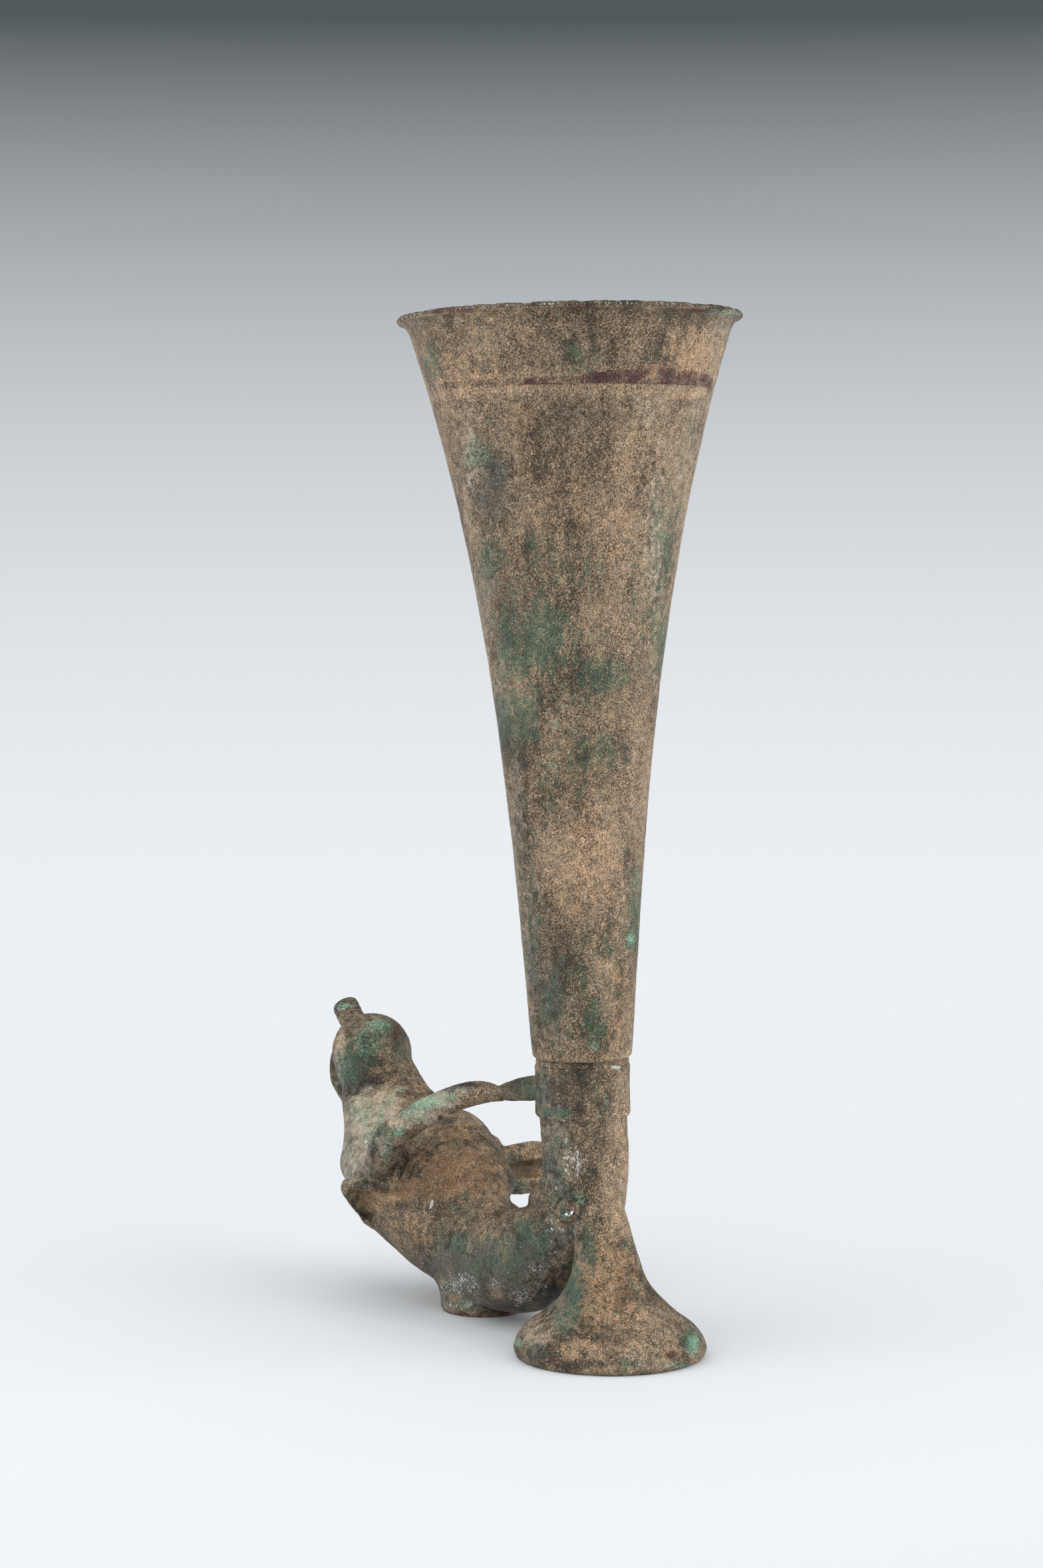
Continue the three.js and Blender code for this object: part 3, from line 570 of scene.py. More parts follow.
def paintStains(mesh, extra=None):
    places = vertexPlaces(mesh)
    u, v, depth = toPhoto(places)
    masks = np.zeros((len(places), len(stainKinds)))
    for kind, su, sv, wide, high, strength, anchor in placedStains:
        near = np.clip(2 - np.abs(depth - anchor) / stainReach, 0, 1)
        gap = ((u - su) / wide) ** 2 + ((v - sv) / high) ** 2
        fall = strength * near * np.exp(-gap ** stainEdge)
        masks[:, kind] = np.maximum(masks[:, kind], fall)
    warpSize, warpDepth = unseenStains["warp"]
    drift = np.array([noise.noise_vector(Vector(place) / warpSize) for place in places])
    loose = places + drift * warpDepth
    for kind, middle, size, strength in hiddenStains:
        gap = ((loose - np.array(middle)) ** 2).sum(axis=1)
        masks[:, kind] = np.maximum(masks[:, kind], strength * np.exp(-gap / size ** 2))
    for kind, values in (extra or {}).items():
        column = stainKinds.index(kind)
        masks[:, column] = np.maximum(masks[:, column], values)
    for name, first in stainLayers.items():
        layer = mesh.attributes.new(name, "FLOAT_COLOR", "POINT")
        shades = np.ones((len(places), 4))
        shades[:, :3] = np.clip(masks[:, first:first + 3], 0, 1)
        layer.data.foreach_set("color", shades.ravel())
    paintValue(mesh, "hollow", hollowness(mesh))


# the patina that all the bronze shares, as one group: ground, tan grains, greens, chalk, soot and red ore,
# with painted shade in creases and painted light on lit surfaces

patinaTones = {
    "Ground": (63, 56, 42),
    "Grain": (220, 184, 149),
    "Slate": (114, 114, 103),
    "Brown": (134, 100, 64),
    "Verdigris": (70, 94, 75),
    "Mint": (130, 176, 150),
    "Chalk": (228, 230, 224),
    # the soot tone also serves as painted shade in creases and hollows
    "Soot And Shade": (50, 45, 38),
    "Cuprite": (88, 50, 47),
    # tone of the pale film, used mostly as painted light on lit tops and edges
    "Film And Highlight": (200, 197, 180),
}
patinaValues = {"Cover": 0.4, "Grain Scale": 1700.0, "Streak": 0.75, "Relief": 1.0}
patinaMasks = [  # the first nine in the order of photoStains
    "Green", "Mint Cover", "Pale", "Dark", "Tan", "Red", "Slate Cover", "Brown Cover", "Film And Highlight Cover",
    "Hollow", "Hair", "Hair Share",
]


# noise fields: drawn out along Z or not, scale, detail and roughness
patinaFields = {
    "broad": (True, 22.0, 4.0, 0.55), "drift": (True, 60.0, 6.0, 0.72),
    "cloud": (True, 110.0, 5.0, 0.62), "spots": (True, 240.0, 7.0, 0.74),
    "flecks": (True, 560.0, 6.0, 0.74), "mottle": (False, 380.0, 4.0, 0.65),
    "dust": (False, 1100.0, 1.0, 0.55), "crystals": (False, 1200.0, 5.0, 0.72),
    "grit": (False, 2600.0, 2.0, 0.55), "points": (False, 3600.0, 2.0, 0.6),
}
# clouds that some stains also make everywhere: field, where they start and are full, strength
patinaDrifts = {
    "Slate Cover": ("broad", 0.5, 0.7, 0.5),
    "Brown Cover": ("cloud", 0.52, 0.72, 0.6),
    "Green": ("drift", 0.53, 0.7, 0.62),
}
# layers over the ground: field and swing at the ragged edge, where it starts and is full, strength
patinaLayers = {
    "Slate": ("mottle", 3.0, 0.15, 0.7, 0.58), "Brown": ("mottle", 2.4, 0.15, 0.7, 0.65),
    "Soot And Shade": ("mottle", 2.2, 0.15, 0.7, 0.55), "Film And Highlight": ("mottle", 1.2, 0.1, 1.0, 0.62),
    "greenTint": ("spots", 2.0, 0.2, 0.8, 0.35), "greenFlecks": ("flecks", 4.4, 0.38, 0.62, 0.72),
    "Mint": ("crystals", 5.0, 0.3, 0.7, 0.7), "Cuprite": ("flecks", 2.0, 0.15, 0.95, 0.85),
}
edgeFade = 0.2  # of a stain's mask, below which its edge is no longer ragged
# painted shade: creases darkened with the soot tone, by how deep they lie
creases = {"edge": (0.65, 1.0), "strength": 0.35}
tanGrains = {
    "detail": 2.5, "rough": 0.6, "dim": (166, 144, 116), "dimEdge": (0.38, 0.64), "strength": 0.8,
    "stains": {"Tan": 0.3, "Dark": -0.4, "Green": -0.22, "Slate Cover": -0.12},  # what each adds to the cover
    "underFlecks": 0.14, "cloudSwing": 1.25, "mottleSwing": 0.4, "hollowShadeSwing": 0.32,
    "bare": 0.74, "pull": 0.48, "soft": 0.22,  # edge without cover, what cover takes off it, its half width
    "points": (232, 200, 168), "pointEdge": (0.56, 0.7), "pointCover": (-0.1, 0.5), "pointStrength": 0.75,
}
# tone of the hair lines: painted shade of the combed grooves
hairShade = {"waver": 9.0, "depth": 0.17}
# random tone swings, which also paint the fine shading of the rough relief
shadeSwings = {"mottle": 1.3, "cloud": 1.1, "broad": 0.9, "grit": 3.0}
leastShade = 0.25
chalk = {
    "field": (1250.0, 5.0, 0.74), "drawn": 0.6, "mask": ("spots", 2.4, 0.2, 0.9), "bare": 0.70, "pull": 0.19,
    "soft": 0.06, "dustEdge": (0.775, 0.8), "fullEdge": (0.93, 1.0), "strength": 0.82,
}
pits = {"edge": (0.42, 0.34), "strength": 0.5}
roughness = {"bare": 0.55, "grains": 0.14, "chalk": 0.15}
reliefShares = {
    "grains": 0.45, "mottle": 0.9, "field": 0.5, "chalk": 0.5, "ore": 0.4, "pits": -0.6, "hair": 0.5,
}


def patinaSockets(tree):
    def socket(name, kind, way="INPUT"):
        return tree.interface.new_socket(name, in_out=way, socket_type="NodeSocket" + kind)

    socket("Vector", "Vector")
    for name, tone in patinaTones.items():
        socket(name, "Color").default_value = (*linear(*tone), 1)
    for name, value in patinaValues.items():
        socket(name, "Float").default_value = value
    for name in patinaMasks:
        socket(name, "Float")
    for name, kind in (("Color", "Color"), ("Roughness", "Float"), ("Height", "Float")):
        socket(name, kind, "OUTPUT")


def patinaGroup():
    tree = bpy.data.node_groups.new("weatheredBronze", "ShaderNodeTree")
    patinaSockets(tree)
    ports = tree.nodes.new("NodeGroupInput").outputs
    result = tree.nodes.new("NodeGroupOutput").inputs
    vector = ports["Vector"]
    streaky = stretched(tree, vector, ports["Streak"])
    fields = {}
    for name, (drawn, *values) in patinaFields.items():
        fields[name] = noiseField(tree, streaky if drawn else vector, *values)
    grainField = noiseField(tree, vector, ports["Grain Scale"], tanGrains["detail"], tanGrains["rough"])
    chalkField = noiseField(tree, stretched(tree, vector, chalk["drawn"]), *chalk["field"])

    def around(field, swing):
        return times(tree, minus(tree, field, 0.5), swing)

    def ragged(mask, field, swing, low, high):
        loose = times(tree, around(fields[field], swing), stepMask(tree, mask, 0.0, edgeFade))
        return stepMask(tree, plus(tree, mask, loose), low, high)

    def everywhere(mask):
        field, low, high, strength = patinaDrifts[mask]
        return most(tree, ports[mask], times(tree, stepMask(tree, fields[field], low, high), strength))

    def lay(under, tone, shown, strength):
        return blendColour(tree, times(tree, shown, strength), under, tone)

    # one layer of the patina over the colour below it, and the mask of where it lies
    def layer(under, name, mask, tone=None):
        *edge, strength = patinaLayers[name]
        shown = ragged(mask, *edge)
        return lay(under, ports[tone or name], shown, strength), shown

    # ground: olive brown that drifts to slate grey and to warm brown, then soot and painted shade, painted
    # shade in the creases, and a pale film that is mostly painted light
    colour, _ = layer(ports["Ground"], "Slate", everywhere("Slate Cover"))
    colour, _ = layer(colour, "Brown", everywhere("Brown Cover"))
    # dark stains: soot, and painted shade where they lie under the ball, along the horn and in the ear
    colour, _ = layer(colour, "Soot And Shade", ports["Dark"])
    # painted shade in the creases
    creaseShadeMask = stepMask(tree, ports["Hollow"], *creases["edge"])
    colour = lay(colour, ports["Soot And Shade"], creaseShadeMask, creases["strength"])
    # pale film, mostly painted light: it brightens the lit top of the head and the horn's top, the foot's
    # flare and strips along the beaker's edges
    colour, _ = layer(colour, "Film And Highlight", ports["Film And Highlight Cover"])

    # green copper salts: in the stains, and thinly in clouds everywhere
    greens = everywhere("Green")
    colour, _ = layer(colour, "greenTint", greens, "Verdigris")
    colour, greenMask = layer(colour, "greenFlecks", greens, "Verdigris")

    # tan grains in clusters: denser where the stain mask says so, thin in soot and greens, and thin in
    # creases as painted shade
    cover = ports["Cover"]
    for mask, share in tanGrains["stains"].items():
        cover = plus(tree, cover, times(tree, ports[mask], share))
    cover = minus(tree, cover, times(tree, greenMask, tanGrains["underFlecks"]))
    cover = plus(tree, cover, around(fields["cloud"], tanGrains["cloudSwing"]))
    cover = plus(tree, cover, around(fields["mottle"], tanGrains["mottleSwing"]))
    # fewer grains in hollows darkens them: painted shade
    cover = minus(tree, cover, around(ports["Hollow"], tanGrains["hollowShadeSwing"]))
    edge = minus(tree, tanGrains["bare"], times(tree, cover, tanGrains["pull"]))
    soft = tanGrains["soft"]
    grains = stepMask(tree, grainField, minus(tree, edge, soft), plus(tree, edge, soft))
    dimShare = stepMask(tree, fields["cloud"], *tanGrains["dimEdge"])
    grainTone = blendColour(tree, dimShare, ports["Grain"], (*linear(*tanGrains["dim"]), 1))
    colour = lay(colour, grainTone, grains, tanGrains["strength"])
    points = stepMask(tree, fields["points"], *tanGrains["pointEdge"])
    points = times(tree, points, stepMask(tree, cover, *tanGrains["pointCover"]))
    colour = lay(colour, (*linear(*tanGrains["points"]), 1), points, tanGrains["pointStrength"])

    # bright green crystals and red copper ore
    colour, _ = layer(colour, "Mint", ports["Mint Cover"])
    colour, oreMask = layer(colour, "Cuprite", ports["Red"])

    # hair lines: a wave along the combed phase, broken up by the mottle; its darker and lighter rings are
    # painted shade of the combed grooves
    phase = plus(tree, times(tree, ports["Hair"], 2 * math.pi), around(fields["mottle"], hairShade["waver"]))
    wave = times(tree, calc(tree, "SINE", phase), ports["Hair Share"])
    lines = plus(tree, 1.0, times(tree, wave, hairShade["depth"]))
    colour = blendColour(tree, 1.0, colour, lines, "MULTIPLY")

    # grit and blotches in the tone, partly painted shade of the fine relief, then chalky flecks and fine pits
    # on top
    shade = 1.0
    for name, swing in shadeSwings.items():
        shade = plus(tree, shade, around(fields[name], swing))
    colour = blendColour(tree, 1.0, colour, most(tree, shade, leastShade), "MULTIPLY")
    chalkEdge = minus(tree, chalk["bare"], times(tree, ragged(ports["Pale"], *chalk["mask"]), chalk["pull"]))
    chalkMask = stepMask(tree, chalkField, chalkEdge, plus(tree, chalkEdge, chalk["soft"]))
    chalkMask = most(tree, chalkMask, stepMask(tree, fields["dust"], *chalk["dustEdge"]))
    chalkMask = most(tree, chalkMask, stepMask(tree, ports["Pale"], *chalk["fullEdge"]))
    colour = lay(colour, ports["Chalk"], chalkMask, chalk["strength"])
    pitMask = stepMask(tree, fields["grit"], *pits["edge"])
    tree.links.new(lay(colour, ports["Soot And Shade"], pitMask, pits["strength"]), result["Color"])

    rough = plus(tree, roughness["bare"], times(tree, grains, roughness["grains"]))
    rough = calc(tree, "ADD", rough, times(tree, chalkMask, roughness["chalk"]), clamp=True)
    tree.links.new(rough, result["Roughness"])
    forms = {
        "grains": grains, "mottle": fields["mottle"], "field": grainField, "chalk": chalkMask,
        "ore": oreMask, "pits": pitMask, "hair": wave,
    }
    height = 0.0
    for name, share in reliefShares.items():
        height = plus(tree, height, times(tree, forms[name], share))
    tree.links.new(times(tree, height, ports["Relief"]), result["Height"])
    return tree


bronzePatina = patinaGroup()


patinaShader = {"Metallic": 0.12, "Specular IOR Level": 0.35}
patinaBump = {"Strength": 0.8, "Distance": 0.42 * mm}


def patinaMaterial(name, tones, values):
    material = bpy.data.materials.new(name)
    material.use_nodes = True
    tree = material.node_tree
    shader = tree.nodes["Principled BSDF"]
    group = tree.nodes.new("ShaderNodeGroup")
    group.node_tree = bronzePatina
    place = tree.nodes.new("ShaderNodeTexCoord")
    tree.links.new(place.outputs["Object"], group.inputs["Vector"])
    for socket, tone in tones.items():
        group.inputs[socket].default_value = (*linear(*tone), 1)
    for socket, value in values.items():
        group.inputs[socket].default_value = value

    def attribute(layer):
        node = tree.nodes.new("ShaderNodeAttribute")
        node.attribute_name = layer
        return node.outputs

    for layer, first in stainLayers.items():
        split = tree.nodes.new("ShaderNodeSeparateColor")
        tree.links.new(attribute(layer)["Color"], split.inputs[0])
        for k in range(3):
            tree.links.new(split.outputs[k], group.inputs[patinaMasks[first + k]])
    for layer, socket in (("hollow", "Hollow"), ("hair", "Hair"), ("hairShare", "Hair Share")):
        tree.links.new(attribute(layer)["Fac"], group.inputs[socket])
    tree.links.new(group.outputs["Color"], shader.inputs["Base Color"])
    tree.links.new(group.outputs["Roughness"], shader.inputs["Roughness"])
    for socket, value in patinaShader.items():
        shader.inputs[socket].default_value = value
    relief = tree.nodes.new("ShaderNodeBump")
    for socket, value in patinaBump.items():
        relief.inputs[socket].default_value = value
    tree.links.new(group.outputs["Height"], relief.inputs["Height"])
    tree.links.new(relief.outputs["Normal"], shader.inputs["Normal"])
    return material


beakerBronze = patinaMaterial("beakerBronze", {}, {"Streak": 0.4})
castBronze = patinaMaterial("castBronze", {"Ground": (60, 55, 42)}, {"Cover": 0.26})
hornBronze = patinaMaterial("hornBronze", {"Ground": (62, 62, 49)}, {"Cover": 0.22})
crustOre = patinaMaterial("crustOre", {"Ground": (72, 40, 42), "Grain": (132, 88, 82)}, {"Cover": 0.22})
pinRust = patinaMaterial("pinRust", {"Ground": (104, 76, 72), "Grain": (168, 130, 118)}, {"Cover": 0.42})
saltTones = {"Ground": (222, 226, 222), "Grain": (240, 242, 238)}
whiteSalt = patinaMaterial("whiteSalt", saltTones, {"Cover": 0.7})
print("patina materials are made")


# turned pieces: a node tree that spins an outline of points round the Z axis and roughens the wall

wheelMerge = 0.01 * mm  # closes the seam and the poles
reliefDetail = 3.0


def turnedTree():
    tree = bpy.data.node_groups.new("turnedOnWheel", "GeometryNodeTree")
    sockets = tree.interface
    sockets.new_socket("Outline", in_out="INPUT", socket_type="NodeSocketGeometry")
    sockets.new_socket("Around", in_out="INPUT", socket_type="NodeSocketInt")
    for name in ("Lump Size", "Lump Depth", "Grit Size", "Grit Depth", "Seed"):
        sockets.new_socket(name, in_out="INPUT", socket_type="NodeSocketFloat")
    sockets.new_socket("Material", in_out="INPUT", socket_type="NodeSocketMaterial")
    sockets.new_socket("Turned", in_out="OUTPUT", socket_type="NodeSocketGeometry")
    nodes, links = tree.nodes, tree.links
    ports = nodes.new("NodeGroupInput").outputs

    size = nodes.new("GeometryNodeAttributeDomainSize")
    links.new(ports["Outline"], size.inputs["Geometry"])
    rows = size.outputs["Point Count"]
    sheet = nodes.new("GeometryNodeMeshGrid")
    links.new(plus(tree, ports["Around"], 1.0), sheet.inputs["Vertices X"])
    links.new(plus(tree, rows, 1.0), sheet.inputs["Vertices Y"])
    spot = nodes.new("GeometryNodeInputPosition")
    split = nodes.new("ShaderNodeSeparateXYZ")
    links.new(spot.outputs[0], split.inputs[0])
    angle = times(tree, plus(tree, split.outputs["X"], 0.5), 2 * math.pi)
    row = calc(tree, "ROUND", times(tree, plus(tree, split.outputs["Y"], 0.5), rows))
    sample = nodes.new("GeometryNodeSampleIndex")
    sample.data_type = "FLOAT_VECTOR"
    links.new(ports["Outline"], sample.inputs["Geometry"])
    links.new(spot.outputs[0], sample.inputs["Value"])
    links.new(calc(tree, "MODULO", row, rows), sample.inputs["Index"])
    point = nodes.new("ShaderNodeSeparateXYZ")
    links.new(sample.outputs["Value"], point.inputs[0])
    onWall = nodes.new("ShaderNodeCombineXYZ")
    for axis, way in (("X", "COSINE"), ("Y", "SINE")):
        links.new(times(tree, point.outputs["X"], calc(tree, way, angle)), onWall.inputs[axis])
    links.new(point.outputs["Z"], onWall.inputs["Z"])
    spun = nodes.new("GeometryNodeSetPosition")
    links.new(sheet.outputs["Mesh"], spun.inputs["Geometry"])
    links.new(onWall.outputs[0], spun.inputs["Position"])
    closed = nodes.new("GeometryNodeMergeByDistance")
    closed.inputs["Distance"].default_value = wheelMerge
    links.new(spun.outputs[0], closed.inputs["Geometry"])

    pushes = []
    for sizeName, depthName in (("Lump Size", "Lump Depth"), ("Grit Size", "Grit Depth")):
        field = nodes.new("ShaderNodeTexNoise")
        field.noise_dimensions = "4D"
        field.inputs["Detail"].default_value = reliefDetail
        links.new(calc(tree, "DIVIDE", 1.0, ports[sizeName]), field.inputs["Scale"])
        links.new(ports["Seed"], field.inputs["W"])
        swing = minus(tree, field.outputs["Fac"], 0.5)
        pushes.append(times(tree, swing, times(tree, ports[depthName], 2.0)))
    normal = nodes.new("GeometryNodeInputNormal")
    push = nodes.new("ShaderNodeVectorMath")
    push.operation = "SCALE"
    links.new(normal.outputs[0], push.inputs[0])
    links.new(plus(tree, *pushes), push.inputs["Scale"])
    rough = nodes.new("GeometryNodeSetPosition")
    links.new(closed.outputs[0], rough.inputs["Geometry"])
    links.new(push.outputs[0], rough.inputs["Offset"])
    smooth = nodes.new("GeometryNodeSetShadeSmooth")
    links.new(rough.outputs[0], smooth.inputs["Geometry"])
    real = nodes.new("GeometryNodeRealizeInstances")
    links.new(smooth.outputs[0], real.inputs["Geometry"])
    finish = nodes.new("GeometryNodeSetMaterial")
    links.new(real.outputs[0], finish.inputs["Geometry"])
    links.new(ports["Material"], finish.inputs["Material"])
    links.new(finish.outputs[0], nodes.new("NodeGroupOutput").inputs[0])
    return tree


wheel = turnedTree()


def plainMesh(piece, name):
    graph = bpy.context.evaluated_depsgraph_get()
    mesh = bpy.data.meshes.new_from_object(piece.evaluated_get(graph))
    mesh.name = name
    bpy.data.objects.remove(piece)
    return mesh


def newPiece(name, mesh):
    piece = bpy.data.objects.new(name, mesh)
    bpy.context.scene.collection.objects.link(piece)
    return piece


# outline: closed list of (radius, height) in mm, outer wall upwards first
def turnedMesh(name, outline, around, material, relief, placing):
    mesh = bpy.data.meshes.new(name + "Outline")
    mesh.from_pydata([(radius * mm, 0, height * mm) for radius, height in outline], [], [])
    piece = newPiece(name + "Outline", mesh)
    modifier = piece.modifiers.new("turned", "NODES")
    modifier.node_group = wheel
    values = {"Around": around, "Material": material, **relief}
    for socket in wheel.interface.items_tree:
        if socket.in_out == "INPUT" and socket.name in values:
            modifier[socket.identifier] = values[socket.name]
    turned = plainMesh(piece, name)
    turned.transform(placing)
    return turned


# keeps a finished mesh inside the CAD's box and hands it over
def hand(name, mesh, slot, *nodes):
    setPlaces(mesh, np.clip(vertexPlaces(mesh), np.array(cadBox[0]), np.array(cadBox[1])))
    piece = newPiece(name, mesh)
    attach(piece, "root")
    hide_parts(*nodes)
    print("made", name, len(mesh.polygons), "faces")


# the leaning vessel: beaker, mouth ring, collar and their seams

vessel = {
    "collarBase": 76.5, "collarHeight": 17.5, "collarRadius": 15.7, "collarRound": 1.9, "seam": 1.6,
    "lowRadius": 16.4, "height": 218.6, "taper": 16.5, "flare": 19.4, "flarePower": 3, "wall": 2.0,
    "mouthHeight": 17.6, "lipHeight": 5.6, "lipOverhang": 4.2, "lipThickness": 2.0,
    "leanForward": 0.8, "leanLeft": 0.7,  # degrees
}
beakerLow = vessel["collarHeight"] + vessel["seam"]
seamFoot = vessel["height"]
ringFoot = vessel["height"] + vessel["seam"]
lipFoot = ringFoot + vessel["mouthHeight"]
lipTop = lipFoot + vessel["lipHeight"]
leaning = (
    Matrix.Translation(stemFoot + Vector((0, 0, vessel["collarBase"] * mm)))
    @ Matrix.Rotation(-math.radians(vessel["leanLeft"]), 4, "X")
    @ Matrix.Rotation(math.radians(vessel["leanForward"]), 4, "Y")
)
onBeaker = leaning @ Matrix.Translation((0, 0, beakerLow * mm))
wallRelief = {
    "Lump Size": 0.014, "Lump Depth": 0.00028, "Grit Size": 0.0016, "Grit Depth": 0.00016, "Seed": 3.0,
}


def wallRadius(height):
    share = height / lipFoot
    return vessel["lowRadius"] + vessel["taper"] * share + vessel["flare"] * share ** vessel["flarePower"]


def wallLine(start, stop, inset, steps):
    heights = [start + (stop - start) * i / steps for i in range(steps + 1)]
    return [(wallRadius(height) - inset, height) for height in heights]


# a curve from the first to the last point that leans towards the control point
def bend(first, control, last, steps):
    shares = [i / steps for i in range(steps + 1)]
    return [tuple((1 - t) ** 2 * a + 2 * t * (1 - t) * b + t * t * c for a, b, c in zip(first, control, last))
            for t in shares]


beakerCut = {  # mm
    "footRadius": 13.2, "footRound": 2.4, "wallStart": 3.0, "seamGap": 0.05, "bore": 10.8, "boreTop": 14.0,
    "spigot": 12.6, "spigotFoot": -7.0, "spigotTop": -1.0, "rows": 320, "innerRows": 26, "around": 264,
}


def makeBeaker():
    part = beakerCut
    top, bore, spigot = seamFoot - part["seamGap"], part["bore"], part["spigot"]
    edge = part["footRound"]
    outline = (
        bend((part["footRadius"], 0), (wallRadius(0), 0), (wallRadius(edge), edge), steps=8)
        + wallLine(part["wallStart"], top, 0, part["rows"])
        + wallLine(top, part["boreTop"], vessel["wall"], part["innerRows"])
        + [(bore, 0.0), (bore, part["spigotFoot"]), (spigot, part["spigotFoot"]), (spigot, part["spigotTop"])]
    )
    mesh = turnedMesh("beaker", outline, part["around"], beakerBronze, wallRelief, onBeaker)
    paintStains(mesh)
    hand("beakerHorn", mesh, "bronze_patina", "beaker")


ringCut = {  # mm
    "seamGap": 0.05, "underCurve": 1.5, "noseCurve": 0.5, "innerFoot": 6.0, "sleeve": 8.0, "sleeveEdge": 0.1,
    "sleeveBore": 1.4, "sleeveFit": 0.3, "around": 420,
}
lipChips = {  # mm
    "size": 5.0, "depth": 0.9, "bare": 0.1, "grit": 1.6, "gritDepth": 0.22, "highest": 0.1, "below": 0.6,
}
lipTones = {"darkTop": 2.6, "darkFall": 0.8, "dark": 0.9, "paleDrop": 0.9, "paleHalf": 0.6, "pale": 0.75}


def ringOutline():
    part, wall, thick = ringCut, vessel["wall"], vessel["lipThickness"]
    foot = wallRadius(lipFoot)
    edge = foot + vessel["lipOverhang"]
    low, high = (edge - thick / 4, lipTop - thick), (edge - thick / 2, lipTop)
    under = bend((foot, lipFoot), (foot + part["underCurve"], lipTop - thick), low, steps=10)
    nose = bend(low, (edge + part["noseCurve"], lipTop - thick / 2), high, steps=8)
    inside = bend(high, (foot - wall / 2, lipTop - thick / 2), (foot - wall, lipFoot), steps=12)
    sleeveFoot = ringFoot - part["sleeve"]
    sleeveEnd = sleeveFoot - part["sleeveEdge"]
    return (
        wallLine(ringFoot + part["seamGap"], lipFoot, 0, steps=32)[:-1]
        + under[:-1] + nose[:-1] + inside[:-1]
        + wallLine(lipFoot, ringFoot + part["innerFoot"], wall, steps=16)
        + wallLine(sleeveFoot, sleeveEnd, wall + part["sleeveBore"], steps=1)
        + wallLine(sleeveEnd, ringFoot, wall + part["sleeveFit"], steps=4)
    )


def makeMouthRing():
    mesh = turnedMesh("mouthRing", ringOutline(), ringCut["around"], beakerBronze, wallRelief, onBeaker)
    places = vertexPlaces(mesh)
    upright = np.array(onBeaker.inverted().to_3x3())
    level = ((places - np.array(onBeaker.translation)) @ upright.T)[:, 2] / mm - lipTop
    thick = vessel["lipThickness"]
    nearLip = np.clip((level + thick + lipChips["below"]) / thick, 0, 1)
    push = -np.clip(fieldNoise(places, lipChips["size"]) - lipChips["bare"], 0, 1) * lipChips["depth"]
    push += fieldNoise(places, lipChips["grit"]) * lipChips["gritDepth"]
    pushOut(mesh, np.minimum(push, lipChips["highest"]) * nearLip)
    dark = np.clip(lipTones["darkTop"] + level / lipTones["darkFall"], 0, lipTones["dark"])
    pale = lipTones["pale"] * np.exp(-((level + lipTones["paleDrop"]) / lipTones["paleHalf"]) ** 2)
    paintStains(mesh, {"dark": dark, "pale": pale})
    hand("mouthRing", mesh, "bronze_patina", "mouth_ring")


# solder in the mouth seam: flush all round, with a raised crust on the side that the photo shows
crust = {
    "around": 720, "rows": 12, "overlap": 0.25, "depth": 1.2, "sunk": 0.04,  # mm
    "proud": 0.7, "fullAt": 1.5, "oreFrom": 0.12, "facing": 0.1,
    "thread": (762, 878), "threadReach": 0.3, "threadSpread": (0.6, 1.2), "spread": (0.95, 0.25),
    "fine": 420, "finer": 1100, "finerShare": 0.4, "lump": (800, 1.1), "lumpSpread": (0.7, 0.7), "swell": 0.4,
    "profile": [  # photo column and height in mm
        (868, 0), (877, 1.0), (915, 1.9), (934, 2.4), (952, 2.0), (960, 3.4), (972, 5.0),
        (992, 4.6), (1006, 3.0), (1019, 1.6), (1028, 2.4), (1050, 2.0), (1069, 1.6), (1072, 0),
    ],
}


def crustReach(probe, column):
    fine = noise.noise(probe * crust["fine"]) + noise.noise(probe * crust["finer"]) * crust["finerShare"]
    reach = 0.0
    if crust["thread"][0] < column < crust["thread"][1]:
        reach = crust["threadReach"] * (crust["threadSpread"][0] + crust["threadSpread"][1] * fine)
    columns, heights = zip(*crust["profile"])
    height = float(np.interp(column, columns, heights))
    return max(reach, height * (crust["spread"][0] + crust["spread"][1] * fine), 0.0)


# one section of the crust: radius and height in mm
def crustSection(probe, reach):
    low, high = seamFoot - crust["overlap"], ringFoot + crust["overlap"] + reach
    proud = crust["proud"] * min(1.0, reach / crust["fullAt"])
    across, rise = crust["lump"]
    section = [(wallRadius(low) - crust["depth"], low)]
    for k in range(crust["rows"] + 1):
        share = k / crust["rows"]
        level = low + (high - low) * share
        bumps = noise.noise(Vector((probe.x * across, probe.y * across, level * rise)))
        lump = crust["lumpSpread"][0] + crust["lumpSpread"][1] * bumps
        swell = math.sin(math.pi * share) ** crust["swell"] * proud * lump
        section.append((wallRadius(level) + swell - crust["sunk"], level))
    return section + [(wallRadius(high) - crust["depth"], high)]


def makeSeamCrust():
    rings = []
    reaches = []
    for i in range(crust["around"]):
        angle = 2 * math.pi * i / crust["around"]
        out = Vector((math.cos(angle), math.sin(angle), 0))
        probe = onBeaker @ (out * wallRadius(ringFoot) * mm + Vector((0, 0, ringFoot * mm)))
        facing = (onBeaker.to_3x3() @ out).dot(viewLook) < crust["facing"]
        reach = crustReach(probe, toPhoto([probe])[0][0]) if facing else 0.0
        reaches.append(reach)
        section = crustSection(probe, reach)
        rings.append([onBeaker @ ((out * radius + Vector((0, 0, level))) * mm) for radius, level in section])
    mesh = closedBand("seamCrust", rings)
    mesh.materials.append(beakerBronze)
    mesh.materials.append(crustOre)
    for face in mesh.polygons:
        face.material_index = int(reaches[face.index // len(rings[0])] > crust["oreFrom"])
    mesh.shade_smooth()
    paintStains(mesh)
    hand("seamCrust", mesh, "solder_crust", "seam_solder")


